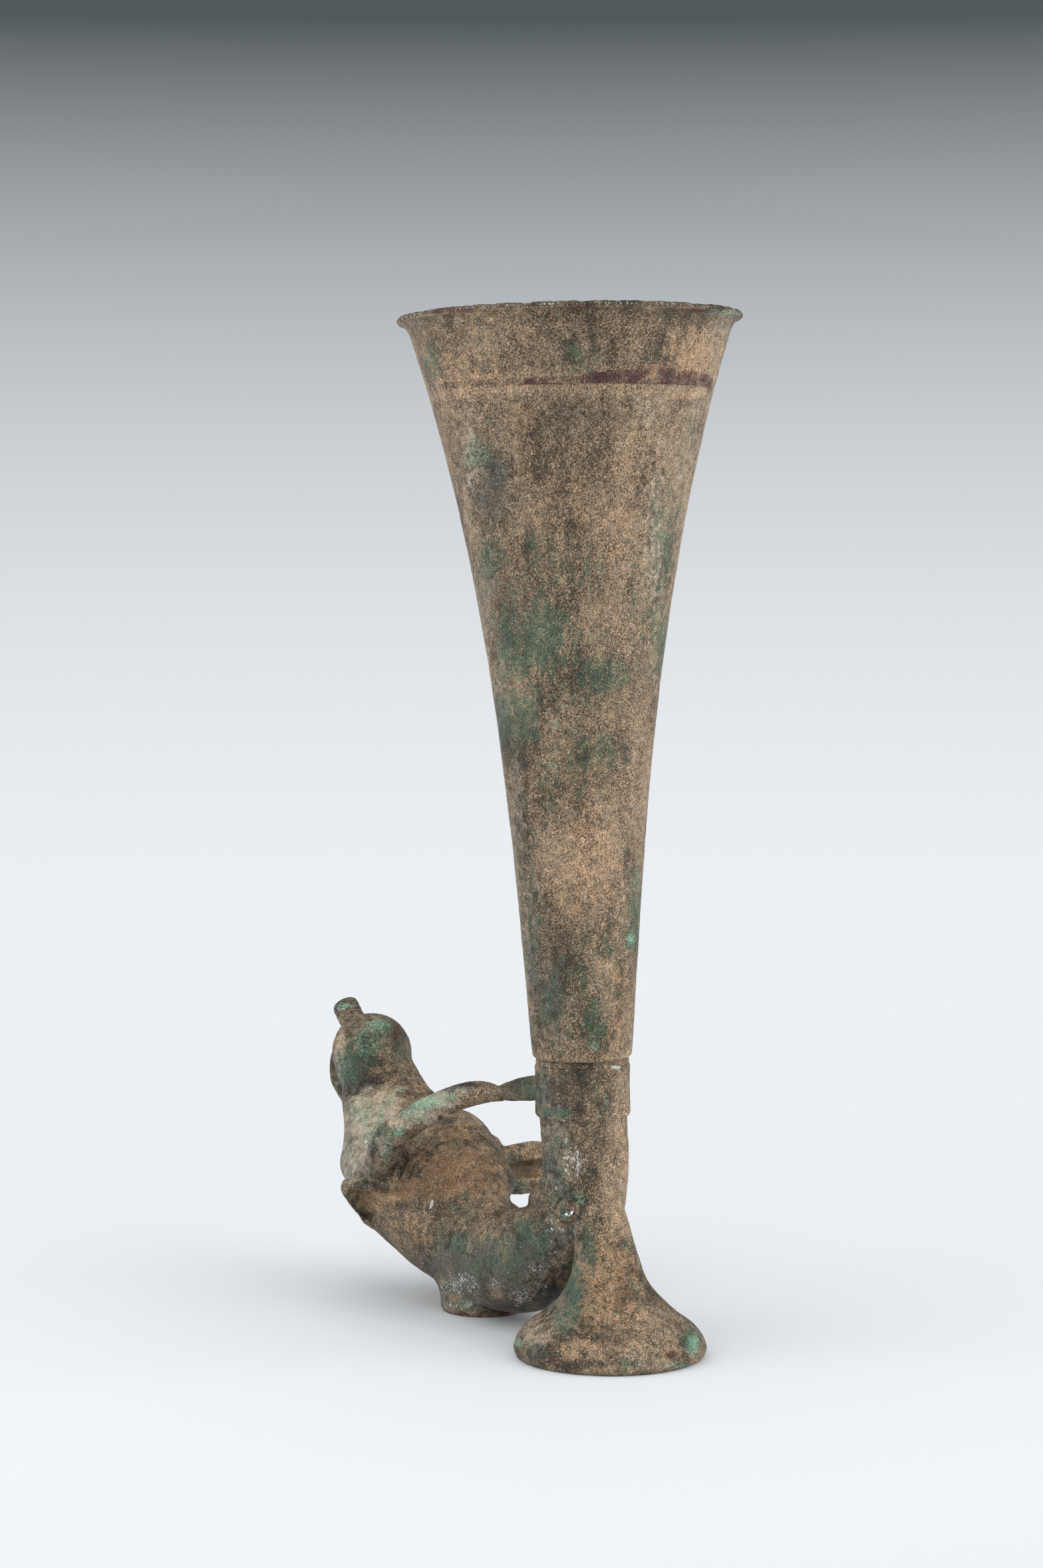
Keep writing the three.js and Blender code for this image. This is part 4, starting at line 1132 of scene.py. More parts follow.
# joins closed sections, set one after another round a circle, into a ring-shaped skin
def closedBand(name, rings):
    count = len(rings[0])
    faces = []
    for i in range(len(rings)):
        after = (i + 1) % len(rings)
        for k in range(count):
            nextK = (k + 1) % count
            faces.append((i * count + k, after * count + k, after * count + nextK, i * count + nextK))
    mesh = bpy.data.meshes.new(name)
    mesh.from_pydata([corner for ring in rings for corner in ring], [], faces)
    outwards(mesh)
    return mesh


def outwards(mesh):
    shell = bmesh.new()
    shell.from_mesh(mesh)
    bmesh.ops.recalc_face_normals(shell, faces=shell.faces)
    shell.to_mesh(mesh)
    shell.free()


collarCut = {  # mm
    "bore": 12.9, "footFlat": 0.8, "footCurve": 0.1, "topEdge": 1.0, "topFall": 0.9, "topFlat": 0.4,
    "waist": 0.12, "steps": 24, "bedding": 6.0, "around": 300,
}
collarRelief = {**wallRelief, "Lump Size": 0.008, "Seed": 5.0}
depositCut = {  # mm
    "inner": 12.7, "sunk": 0.25, "below": 0.2, "above": 0.4, "edge": 0.4, "hollow": 0.35, "steps": 6,
}
depositRelief = {**wallRelief, "Lump Size": 0.005, "Lump Depth": 0.0003, "Grit Depth": 0.0003, "Seed": 8.0}


def makeCollar():
    part = collarCut
    radius, height, edge = vessel["collarRadius"], vessel["collarHeight"], vessel["collarRound"]
    bore, top, bedding = part["bore"], height - part["topEdge"], part["bedding"]
    outline = [(bore, 0), (bore + part["footFlat"], 0)]
    outline += bend((radius - edge, 0), (radius + part["footCurve"], 0), (radius, edge), steps=12)
    for i in range(1, part["steps"]):
        share = i / part["steps"]
        outline.append((radius - part["waist"] * math.sin(math.pi * share), edge + (top - edge) * share))
    outline += bend((radius, top), (radius, height), (radius - part["topFall"], height), steps=8)
    outline += [(bore + part["topFlat"], height), (bore, height), (bore, height - bedding), (bore, bedding)]
    mesh = turnedMesh("collarBand", outline, part["around"], castBronze, collarRelief, leaning)
    paintStains(mesh)
    hand("collarBand", mesh, "bronze_patina", "joint_collar")


def makeDeposit():
    part = depositCut
    inner, outer = part["inner"], vessel["collarRadius"] - part["sunk"]
    low, high = vessel["collarHeight"] - part["below"], beakerLow + part["above"]
    outline = [(inner, low), (outer - part["edge"], low)]
    for i in range(part["steps"] + 1):
        share = i / part["steps"]
        outline.append((outer - part["hollow"] * (2 * share - 1) ** 2, low + (high - low) * share))
    outline += [(outer - part["edge"], high), (inner, high)]
    mesh = turnedMesh("collarDeposit", outline, collarCut["around"], castBronze, depositRelief, leaning)
    paintStains(mesh)
    hand("collarDeposit", mesh, "solder_crust", "collar_solder")


makeBeaker()
makeMouthRing()
makeSeamCrust()
makeCollar()
makeDeposit()
print("vessel is made")


# the cast body: skins along a spine, fused and softened

body = {
    "stem": 14.4, "stemLength": 23.0, "stemGap": 0.3, "wall": 2.6,
    "sections": [  # x, z, half width, half height above and below the spine, mm from the stem's foot
        (11, 38.5, 16.6, 16.4, 17.0), (35, 23.2, 18.8, 18.4, 18.2), (62, 22.2, 20.0, 20.0, 19.0),
        (83.5, 30.8, 24.0, 24.4, 24.2), (102.4, 40.6, 28.0, 23.0, 26.0), (121, 51.5, 23.0, 18.8, 21.6),
        (135, 64.5, 16.6, 12.6, 17.4),
    ],
    "muzzle": (146, 78.6, 15.2),  # x, z, half length
    "ball": (146.3, 80.2, 14.7, 14.6, 14.3),  # as the photo shows it: x, z, half length, width and height
    "muzzleBlend": 0.8,  # girth at the muzzle, as a share of the last section's
    "headSplit": 4.5, "splitOverlap": 0.12,  # in sections
    "stemTop": 3.0, "stump": (discFromStem, 14.6),  # x, radius
    "stumpLevels": [  # height and what it gains in radius
        (0.7, 0.0), (1.6, 0.4), (5.4, 0.6), (9.0, 1.6), (12.0, 3.4),
    ],
}
softening = {
    "coarse": 0.8 * mm, "neckVoxel": 0.56 * mm, "headVoxel": 0.48 * mm,
    "tieVoxel": 0.45 * mm, "pinVoxel": 0.16 * mm,
    "neckRounds": 12, "headRounds": 5, "rounds": 4, "pinRounds": 2, "shrink": 0.55, "swell": -0.5,
    "hollow": 0.9, "ridge": 0.03, "crispFrom": 0.8, "crispOver": 0.4, "crispLeast": 0.05,
}
castRelief = [(16.0, 0.35, 0.0), (5.0, 0.16, 0.7), (1.5, 0.10, 0.3)]  # size and depth in mm, shift
floorClear = 1.5 * mm  # the relief fades below this height, so that the feet stay flat
upward = np.array((0.0, 0.0, 1.0))


samePoint = 1e-4  # root of the gap below which two points count as one
spineStep = 1e-4  # shares of a line over which its direction is taken
barStep = 1e-3


# the CAD's own kind of curve through all the points, at a share of its length in points
def throughPoints(points, at):
    points = np.asarray(points, dtype=float)
    last = len(points) - 1
    place = at * last
    i = min(int(place), last - 1)
    t = place - i
    p1, p2 = points[i], points[i + 1]
    p0 = points[i - 1] if i > 0 else 2 * points[0] - points[1]
    p3 = points[i + 2] if i + 2 <= last else 2 * points[last] - points[last - 1]
    d0, d1, d2 = (math.sqrt(np.linalg.norm(b - a)) for a, b in ((p0, p1), (p1, p2), (p2, p3)))
    d1 = d1 if d1 > samePoint else 1.0
    d0 = d0 if d0 > samePoint else d1
    d2 = d2 if d2 > samePoint else d1
    m1 = ((p1 - p0) / d0 - (p2 - p0) / (d0 + d1) + (p2 - p1) / d1) * d1
    m2 = ((p2 - p1) / d1 - (p3 - p1) / (d1 + d2) + (p3 - p2) / d2) * d1
    return p1 + m1 * t + (3 * (p2 - p1) - 2 * m1 - m2) * t ** 2 + (2 * (p1 - p2) + m1 + m2) * t ** 3


def directionAt(points, at, step):
    along = throughPoints(points, min(at + step, 1)) - throughPoints(points, max(at - step, 0))
    return along / np.linalg.norm(along)


def onAxis(height):
    return np.array((leaning.to_3x3() @ Vector((0, 0, height)))) + np.array((0, 0, vessel["collarBase"]))


spinePoints = [onAxis(-body["stemGap"]), onAxis(-body["stemLength"])]
spinePoints += [np.array((x, 0, z)) for x, z, *_ in body["sections"] + [body["muzzle"]]]
girthPoints = [np.full(3, body["stem"])] * 2 + [np.array(s[2:]) for s in body["sections"]]
girthPoints.append(np.array(body["sections"][-1][2:]) * body["muzzleBlend"])
lastSection = len(spinePoints) - 1


def spineFrame(section):
    at = min(max(section / lastSection, 0), 1)
    along = directionAt(spinePoints, at, spineStep)
    side = sideOf(along)
    return throughPoints(spinePoints, at), along, side, np.cross(along, side), throughPoints(girthPoints, at)


# from mm off the stem's foot to the frame, and back
def inFrame(place):
    return np.array(stemFoot) + np.array(place) * mm


def offStem(place):
    return (np.array(place) - np.array(stemFoot)) / mm


# an oval ring of points with its own height above and below the middle
def ringAt(centre, side, up, wide, high, low, count=64):
    angles = np.arange(count) / count * 2 * math.pi
    rise = np.where(np.sin(angles) > 0, np.sin(angles) * high, np.sin(angles) * low)
    return centre + np.outer(np.cos(angles) * wide, side) + np.outer(rise, up)


# the direction square to a line that lies nearest to +Y
def sideOf(along):
    side = np.array((0, 1, 0)) - along * along[1]
    return side / np.linalg.norm(side)


def roundRing(centre, along, radius, count=48):
    side = sideOf(along)
    return ringAt(centre, side, np.cross(along, side), radius, radius, radius, count)


# a closed mesh over rings of points in mm, with a cap at each end
def skin(rings):
    count = len(rings[0])
    corners = [tuple(corner) for ring in rings for corner in ring]
    corners += [tuple(np.mean(rings[0], axis=0)), tuple(np.mean(rings[-1], axis=0))]
    start, end = len(corners) - 2, len(corners) - 1
    lastRow = (len(rings) - 1) * count
    faces = []
    for k in range(count):
        after = (k + 1) % count
        faces.append((start, after, k))
        faces.append((end, lastRow + k, lastRow + after))
        for row in range(0, lastRow, count):
            faces.append((row + k, row + after, row + after + count, row + k + count))
    mesh = bpy.data.meshes.new("skin")
    mesh.from_pydata([(Vector(corner) * mm + stemFoot) for corner in corners], [], faces)
    outwards(mesh)
    return mesh


ringsPerSection = 9


def spineSkin(first, last):
    steps = round((last - first) * ringsPerSection)
    rings = []
    for i in range(steps + 1):
        centre, _, side, up, half = spineFrame(first + (last - first) * i / steps)
        rings.append(ringAt(centre, side, up, *half))
    return rings


def ballSkin(centre, along, side, up, length, wide, high, rows=24):
    rings = []
    for i in range(1, rows):
        angle = math.pi * i / rows
        middle = centre - along * math.cos(angle) * length
        swell = math.sin(angle)
        rings.append(ringAt(middle, side, up, swell * wide, swell * high, swell * high))
    return skin(rings)


def barSkin(points, radii, steps):
    rings = []
    for i in range(steps + 1):
        at = i / steps
        radius = throughPoints([(r, 0, 0) for r in radii], at)[0]
        along = directionAt(points, at, barStep)
        rings.append(roundRing(throughPoints(points, at), along, radius, count=40))
    return skin(rings)


def fused(name, meshes, voxel):
    joined = bmesh.new()
    for mesh in meshes:
        joined.from_mesh(mesh)
        bpy.data.meshes.remove(mesh)
    whole = bpy.data.meshes.new(name)
    joined.to_mesh(whole)
    joined.free()
    return remeshed(whole, voxel)


def remeshed(mesh, voxel):
    piece = newPiece(mesh.name + "Raw", mesh)
    modifier = piece.modifiers.new("voxels", "REMESH")
    modifier.mode = "VOXEL"
    modifier.voxel_size = voxel
    modifier.use_smooth_shade = True
    return plainMesh(piece, mesh.name)


def carved(mesh, cutter):
    piece = newPiece("carvedRaw", mesh)
    tool = newPiece("carvedTool", cutter)
    modifier = piece.modifiers.new("cut", "BOOLEAN")
    modifier.operation = "DIFFERENCE"
    modifier.solver = "EXACT"
    modifier.object = tool
    result = plainMesh(piece, mesh.name)
    bpy.data.objects.remove(tool)
    return result


# fills creases with fillets: points in a hollow move to the mean of their neighbours
def fillCreases(mesh, rounds, crisp=()):
    edges = meshEdges(mesh)
    places = vertexPlaces(mesh)
    soft = np.ones(len(places))
    for middle, radius in crisp:
        gap = np.linalg.norm(places - inFrame(middle), axis=1) / (radius * mm)
        share = (gap - softening["crispFrom"]) / softening["crispOver"]
        soft = np.minimum(soft, np.clip(share, softening["crispLeast"], 1))
    mesh.update()
    for _ in range(rounds):
        places, normals = vertexPlaces(mesh), vertexNormals(mesh)
        shift = neighbourMean(places, edges) - places
        inward = (shift * normals).sum(axis=1)
        share = np.where(inward > 0, softening["hollow"], softening["ridge"]) * soft
        setPlaces(mesh, places + shift * share[:, None])


def smoothed(mesh, rounds):
    edges = meshEdges(mesh)
    places = vertexPlaces(mesh)
    for i in range(rounds):
        shift = neighbourMean(places, edges) - places
        places += shift * (softening["shrink"] if i % 2 == 0 else softening["swell"])
    setPlaces(mesh, places)


def roughen(mesh):
    places = vertexPlaces(mesh)
    push = sum(fieldNoise(places + shift, size) * depth for size, depth, shift in castRelief)
    pushOut(mesh, push * np.clip(places[:, 2] / floorClear, 0, 1))


def turnedPair(first, second, turn):
    c, s = math.cos(math.radians(turn)), math.sin(math.radians(turn))
    return first * c + second * s, second * c - first * s


strokeReach = 12  # mm


# strokes of the modelling tool: place in photo pixels, half sizes along and across, turn in degrees,
# push in mm (outwards, or right and up in the picture), then mm from the camera where the CAD's own
# surface is not meant, and how deep the stroke reaches
def stroke(mesh, strokes):
    for u, v, long, wide, turn, push, *deep in strokes:
        anchor = deep[0] * mm if deep else (onPhoto(u, v)[0] - viewStand).dot(viewLook)
        reach = (deep[1] if len(deep) > 1 else strokeReach) * mm
        places = vertexPlaces(mesh)
        pu, pv, depth = toPhoto(places)
        along, across = turnedPair(pu - u, pv - v, turn)
        fall = np.exp(-(along / long) ** 2 - (across / wide) ** 2)
        fall *= np.clip(2 - np.abs(depth - anchor) / reach, 0, 1)
        if isinstance(push, tuple):
            setPlaces(mesh, places + np.outer(fall * mm, viewRight * push[0] + viewUp * push[1]))
        else:
            pushOut(mesh, fall * push)


foot = {
    "offset": -16.5, "radius": 31.6, "round": 1.0, "widest": 2.8, "lipHeight": 8.0, "lipFall": 2.4,
    "flareHeight": 14.0, "flareShare": 0.44, "waistHeight": 23.0, "waistSpread": 3.8,
    "neckOffset": -13.6, "neckRadius": 9.8, "neckHeight": 36.0,
    "topOffset": -4.0, "topRadius": 9.6, "topHeight": 54.0, "wall": 3.2, "hollow": 18.0, "crown": 3.0,
    "rows": 60, "around": 96,
}


def footRings():
    flare = foot["radius"] + (foot["neckRadius"] - foot["radius"]) * foot["flareShare"]
    waistOffset = foot["offset"] + (foot["neckOffset"] - foot["offset"]) / 4
    levels = [
        (foot["radius"] - foot["round"], foot["offset"], 0), (foot["radius"], foot["offset"], foot["widest"]),
        (foot["radius"] - foot["lipFall"], foot["offset"], foot["lipHeight"]),
        (flare, foot["offset"], foot["flareHeight"]),
        (foot["neckRadius"] + foot["waistSpread"], waistOffset, foot["waistHeight"]),
        (foot["neckRadius"], foot["neckOffset"], foot["neckHeight"]),
        (foot["topRadius"], foot["topOffset"], foot["topHeight"]),
    ]
    outer = [throughPoints(levels, i / foot["rows"]) for i in range(foot["rows"] + 1)]

    def level(radius, offset, height):
        return roundRing(np.array((offset, 0, height)), upward, radius, foot["around"])

    cap = level(foot["crown"], foot["offset"], foot["hollow"])
    hollow = [row for row in outer if row[2] < foot["hollow"]]
    inner = [level(radius - foot["wall"], offset, height) for radius, offset, height in hollow]
    return [cap] + inner[::-1] + [level(*row) for row in outer]


pin = {
    "place": (-1, 3.2, 43.8), "heading": -31.0, "fall": 10.7, "radius": 2.5, "near": 26.0, "far": 52.0,
    "shift": (-2.8, 1.8),  # mm right and up in the picture
    "rim": (4.3, 0.5, 0.4),  # radius, half width and height
    "rimLumps": (0.9, 1.8), "rimReach": 5.0, "rimDark": 0.9,
    "proud": 0.35, "grit": 0.9, "gritDepth": 0.14, "probe": 70.0, "drill": 8.0,
    "head": [(4.0, 3.4), (1.4, 3.9), (0.4, 3.7), (0.0, 2.2), (0.25, 1.4), (0.3, 0.3)],  # depth and radius
    "holes": [(1.3, -1.05, 0.74), (-0.66, -1.5, 0.55), (0.35, -1.8, 0.3)],  # mm right and up, and radius
    "farHoles": [(0.4, -1.25, 2.1)],
}
pinTurn, pinFall = math.radians(pin["heading"]), math.radians(pin["fall"])
pinAxis = np.array((
    math.cos(pinTurn) * math.cos(pinFall),
    math.sin(pinTurn) * math.cos(pinFall),
    -math.sin(pinFall),
))


# mm right and up in the picture
def inPicture(across, rise):
    return np.array(viewRight) * across + np.array(viewUp) * rise


pinPlace = np.array(pin["place"]) + inPicture(*pin["shift"])


def surfaceTree(mesh):
    return BVHTree.FromPolygons(vertexPlaces(mesh).tolist(), [list(face.vertices) for face in mesh.polygons])


def seatOfPin(mesh, direction):
    start = Vector(pinPlace + pinAxis * direction * pin["probe"]) * mm + stemFoot
    place = surfaceTree(mesh).ray_cast(start, Vector(pinAxis * -direction))[0]
    return (offStem(place) - pinPlace) @ pinAxis


pinSeats = {}


def raisePinRim(mesh):
    places = vertexPlaces(mesh)
    away = offStem(places) - pinPlace
    depth = away @ pinAxis
    gap = np.linalg.norm(away - np.outer(depth, pinAxis), axis=1)
    radius, half, height = pin["rim"]
    rim = np.exp(-((gap - radius) / half) ** 2) * (np.abs(depth - pinSeats[-1]) < pin["rimReach"])
    share, size = pin["rimLumps"]
    pushOut(mesh, height * (1 + share * fieldNoise(places, size)) * rim)
    return {"dark": pin["rimDark"] * rim}


# the saddle between neck and stem, shared by both castings
saddleStrokes = [
    (786, 1806, 22, 12, 40, -2.8, 1121), (773, 1804, 24, 11, 20, -3.2, 1150),
    (776, 1802, 22, 14, 55, -4.0, 1186, 14), (786, 1802, 15, 17, 0, (-3.7, -0.2), 1175, 14),
]
neckStrokes = [
    (812, 1830, 16, 8, -40, -1.0), (816, 1936, 22, 4, -58, -0.9), (806, 1942, 24, 4, -56, 0.5),
    (797, 1950, 22, 4, -54, -0.7), (786, 1958, 22, 4, -50, 0.4), (836, 1940, 20, 6, 78, -1.0),
]


def stumpSkin():
    x, radius = body["stump"]
    rings = []
    for height, gain in body["stumpLevels"]:
        rings.append(roundRing(np.array((x, 0, height)), upward, radius + gain, count=64))
    return skin(rings)


def makeNeck():
    top = ringAt(onAxis(body["stemTop"]), np.array((0, 1, 0)), np.array((1, 0, 0)), *[body["stem"]] * 3)
    neck = skin([top] + spineSkin(0.0, body["headSplit"] + body["splitOverlap"]))
    mesh = fused("neckCasting", [neck, stumpSkin(), skin(footRings())], softening["coarse"])
    fillCreases(mesh, softening["neckRounds"])
    for direction in (-1, 1):
        pinSeats[direction] = seatOfPin(mesh, direction)
    ends = [pinPlace - pinAxis * pin["near"], pinPlace + pinAxis * pin["far"]]
    mesh = carved(mesh, skin([roundRing(end, pinAxis, pin["radius"], count=32) for end in ends]))
    mesh = remeshed(mesh, softening["neckVoxel"])
    smoothed(mesh, softening["rounds"])
    stroke(mesh, saddleStrokes + neckStrokes)
    roughen(mesh)
    paintStains(mesh, raisePinRim(mesh))
    splitAt(mesh, body["headSplit"], keepFront=False)
    mesh.materials.append(castBronze)
    mesh.shade_smooth()
    hand("neckCasting", mesh, "bronze_patina", "neck_elbow", "foot_bell")


cutReach = {"along": 8 * mm, "across": 34 * mm}
cutSnap = 1e-7


# cuts the body square to its spine and closes the cut; only the neck itself is touched
def splitAt(mesh, section, keepFront):
    centre, along, _, _, _ = spineFrame(section)
    centre = Vector(centre) * mm + stemFoot
    along = Vector(along)
    shell = bmesh.new()
    shell.from_mesh(mesh)

    def nearCut(face):
        gap = face.calc_center_median() - centre
        depth = gap.dot(along)
        return abs(depth) < cutReach["along"] and (gap - along * depth).length < cutReach["across"]

    faces = [face for face in shell.faces if nearCut(face)]
    edges = {edge for face in faces for edge in face.edges}
    corners = {corner for face in faces for corner in face.verts}
    geom = list(corners) + list(edges) + faces
    bmesh.ops.bisect_plane(shell, geom=geom, plane_co=centre, plane_no=along, clear_inner=keepFront,
                           clear_outer=not keepFront, dist=cutSnap)
    rim = [edge for edge in shell.edges if edge.is_boundary]
    bmesh.ops.holes_fill(shell, edges=rim, sides=0)
    for edge in rim:
        if edge.is_valid:
            edge.smooth = False
    bmesh.ops.triangulate(shell, faces=[face for face in shell.faces if len(face.verts) > 4])
    shell.to_mesh(mesh)
    shell.free()


ears = {
    "section": 5.85, "right": (-1, 4.0, 22.0),  # side, degrees above the widest place, reach
    "halfHeight": 9.4, "halfThickness": 4.4, "rows": 24,
    "cup": 2.6, "cupDepth": 2.2, "cupReach": 0.66, "cupHeight": 0.42,
    "leaf": [(0, 0.92, 1.0), (0.35, 1.0, 0.95), (0.7, 0.97, 0.85), (0.9, 0.8, 0.65), (1, 0.4, 0.3)],
}
horn = {
    "section": 6.05, "angle": 24.0, "rootRadius": 6.9,
    "line": [  # place in the photo, mm from the camera and radius in mm, from the root to the tie
        (571, 1772, 1180.0, 5.0), (573, 1745, 1177.5, 5.7), (581, 1719, 1173.5, 5.6),
        (596, 1701, 1169.5, 5.2), (617, 1687, 1166.0, 5.0), (641, 1672, 1160.0, 4.8),
        (670, 1657, 1152.5, 4.6), (701, 1646, 1144.5, 4.4), (728, 1642, 1138.0, 3.8),
        (751, 1645, 1132.5, 2.7), (758, 1646, 1130.8, 2.3),
    ],
    "tieHeight": 8.6, "tieAngle": 30.0, "tieLength": 19.0, "tieSplay": 3.0, "tieDrop": 4.2, "tieSunk": 2.0,
    "tieRadii": (4.2, 4.0, 2.6), "tieOverlap": 0.12,  # share of its length that runs on into the horn
    "root": (2.0, 0.4, 5.0, 3.8),  # the lost horn's stub: back, up, radius halfway and at its end
}


def headPoint(section, angle, grow):
    centre, _, side, up, half = spineFrame(section)
    turn = math.radians(angle)
    rise = math.sin(turn) * ((half[1] if turn > 0 else half[2]) + grow)
    return centre + side * math.cos(turn) * (half[0] + grow) + up * rise


def mirrored(place, side):
    return np.array((place[0], place[1] * side, place[2]))


def earSkin(side, angle, reach):
    root = headPoint(ears["section"], angle, -body["wall"])
    out = headPoint(ears["section"], angle, 0) - root
    out /= np.linalg.norm(out)
    back = np.array((-1.0, 0, 0)) + out * out[0]
    back /= np.linalg.norm(back)
    tall = np.cross(out, back)
    rings = []
    for i in range(ears["rows"] + 1):
        share, height, thick = throughPoints(ears["leaf"], i / ears["rows"])
        middle = mirrored(root + out * share * (reach + body["wall"]), side)
        half = ears["halfHeight"] * height
        rings.append(ringAt(middle, mirrored(back, side), mirrored(tall, side),
                            ears["halfThickness"] * thick, half, half, count=40))
    cupMiddle = mirrored(headPoint(ears["section"], angle, reach / 2), side)
    cupMiddle[0] -= ears["halfThickness"] + ears["cup"] / 2
    cup = ballSkin(cupMiddle, *np.eye(3), ears["cup"] * ears["cupDepth"], reach * ears["cupReach"],
                   ears["halfHeight"] * ears["cupHeight"])
    return carved(skin(rings), cup)


# the left ear is a scoop: a thin rim that stands on the head, thicker towards its foot
scoop = {
    "rim": [  # place in the photo and mm from the camera, from the horn's root over the tip to the foot
        (553, 1769, 1180.0), (544, 1773, 1179.4), (535, 1777, 1179.2), (526, 1781.5, 1179.2),
        (518.5, 1786, 1179.6), (518, 1794, 1180.2), (522.5, 1805, 1181.2), (528, 1814, 1182.2),
        (534.5, 1823, 1183.4), (542, 1831, 1185.0), (551, 1840, 1187.0), (561, 1848, 1190.0),
    ],
    "middle": (562, 1806),
    "dish": ((0.1, 0.2), (0.5, 1.1), (0.95, 2.2)),  # share of the way to the middle, mm deep
    "height": 9.0, "footOut": 0.3, "halfwayOut": 0.2, "rows": 40,
}


def atDepth(u, v, depth):
    ray = photoRay(u, v)
    return np.array(viewStand + ray * (depth / ray.dot(viewLook)))


def scoopSkin():
    rings = []
    away = np.array(viewLook) * mm
    high = scoop["height"]
    for i in range(scoop["rows"] + 1):
        u, v, depth = throughPoints(scoop["rim"], i / scoop["rows"])
        rim = atDepth(u, v, depth * mm)
        inward = atDepth(*scoop["middle"], depth * mm) - rim
        outward = inward / np.linalg.norm(inward) * -mm
        ring = [rim] + [rim + inward * share + away * deep for share, deep in scoop["dish"]]
        ring.append(rim + inward * scoop["dish"][-1][0] + away * high)
        ring.append(rim + outward * scoop["footOut"] + away * high)
        ring.append(rim + outward * scoop["halfwayOut"] + away * high / 2)
        rings.append(offStem(ring))
    return skin(rings)


tieTurn = math.radians(horn["tieAngle"])
tieOut = np.array((math.cos(tieTurn), math.sin(tieTurn), 0))
tieRoot = onAxis(horn["tieHeight"]) + tieOut * vessel["collarRadius"]
tieTip = tieRoot + np.array((horn["tieLength"], horn["tieSplay"], -horn["tieDrop"]))
hornRoot = headPoint(horn["section"], horn["angle"], -body["wall"])


# the everted lip on the muzzle's left: place in the photo, mm from the camera and radius in mm
lipLine = [
    (519, 1564, 1240, 1.6), (509, 1582, 1239, 2.4), (506.5, 1603, 1238, 2.7),
    (508, 1624, 1237, 2.7), (516, 1646, 1235, 2.3), (526, 1666, 1232, 1.6),
]
headStrokes = [
    (530, 1640, 28, 10, 25, -1.5), (575, 1628, 42, 10, -10, -1.6),  # under the ball
    (558, 1602, 45, 14, 0, 0.6),
    (519, 1758, 30, 16, 90, 3.2, 1192, 16), (705, 1694, 36, 24, 45, 2.6),  # cheek and poll
    (604, 1757, 26, 4, 105, -0.8), (616, 1740, 20, 4, -42, -0.8),  # beside the horn's root
    (640, 1718, 26, 4, -42, -0.8),
    (570, 1786, 12, 4, 35, -1.2), (596, 1791, 24, 5, -6, -0.8),  # round the left ear
    (550, 1826, 9, 5, 20, -1.3, 1184), (545, 1834, 16, 3, 32, 0.6, 1186),
    (533, 1812, 14, 2.5, 50, -0.7, 1183),
    (650, 1810, 9, 2.6, 110, -0.7),  # casting flaw
]


# the face on the side away from the photo, plain and the same left and right: section, degrees above
# the widest place, half sizes along and across in mm, turn in degrees, push in mm
faceMiddle = -90
faceStrokes = [
    (7.2, -46, 6.0, 4.4, 0, -1.5), (7.2, -46, 3.2, 2.3, 0, 2.3),  # eye in its socket
    (7.05, -40, 6.0, 1.4, 10, 0.8), (7.4, faceMiddle, 14.0, 4.0, 0, 0.8),  # brow, bridge of the nose
    (8.85, -66, 2.4, 1.5, 35, -1.8), (8.1, -56, 8.0, 1.1, -8, -1.1),  # nostril, mouth
]
faceReach = 8.0  # mm in depth


def modelFace(mesh):
    for section, angle, long, wide, turn, push in faceStrokes:
        share = 0.5 if angle == faceMiddle else 1.0  # the middle is stroked from both sides
        for side in (1, -1):
            places, normals = vertexPlaces(mesh), vertexNormals(mesh)
            spot = inFrame(mirrored(headPoint(section, angle, 0), side))
            nearest = np.argmin(((places - spot) ** 2).sum(axis=1))
            out = normals[nearest]
            along = flattened(spineFrame(section)[1], out)
            away = (places - places[nearest]) / mm
            down, over = turnedPair(away @ along, away @ (np.cross(out, along) * side), turn)
            fall = np.exp(-(down / long) ** 2 - (over / wide) ** 2) * (np.abs(away @ out) < faceReach)
            pushOut(mesh, fall * push * share)


# a direction laid into the surface that faces out
def flattened(along, out):
    along = along - out * (along @ out)
    return along / np.linalg.norm(along)


# white salt in flaws of the casting: place in the photo, half length and half width in mm, turn in degrees
saltFlaws = [(650, 1810, 2.5, 0.75, 105), (550, 1716, 0.8, 0.7, 0)]
saltGrain = {"sunk": 0.12, "high": 0.32, "rows": 16}  # mm


def setSalt(mesh):
    tree = surfaceTree(mesh)
    whole = bmesh.new()
    whole.from_mesh(mesh)
    for u, v, long, wide, turn in saltFlaws:
        place, normal, _, _ = tree.ray_cast(viewStand, photoRay(u, v))
        slope = math.radians(turn)
        out = np.array(normal)
        along = flattened(inPicture(math.cos(slope), -math.sin(slope)), out)
        centre = offStem(place) - out * saltGrain["sunk"]
        side = np.cross(out, along)
        grain = ballSkin(centre, along, side, out, long, wide, saltGrain["high"], saltGrain["rows"])
        for face in grain.polygons:
            face.material_index = 1
        whole.from_mesh(grain)
        bpy.data.meshes.remove(grain)
    whole.to_mesh(mesh)
    whole.free()
    mesh.materials.append(whiteSalt)


# hair combed in rings round the horn's root, in photo pixels; depth and reach are mm from the camera
hair = {
    "middle": (578, 1757), "pitch": 4.6, "start": 8, "fadeIn": 8, "end": 50, "fadeOut": 22,
    "side": (16, 0.6), "depth": 1176, "reach": 10,
}


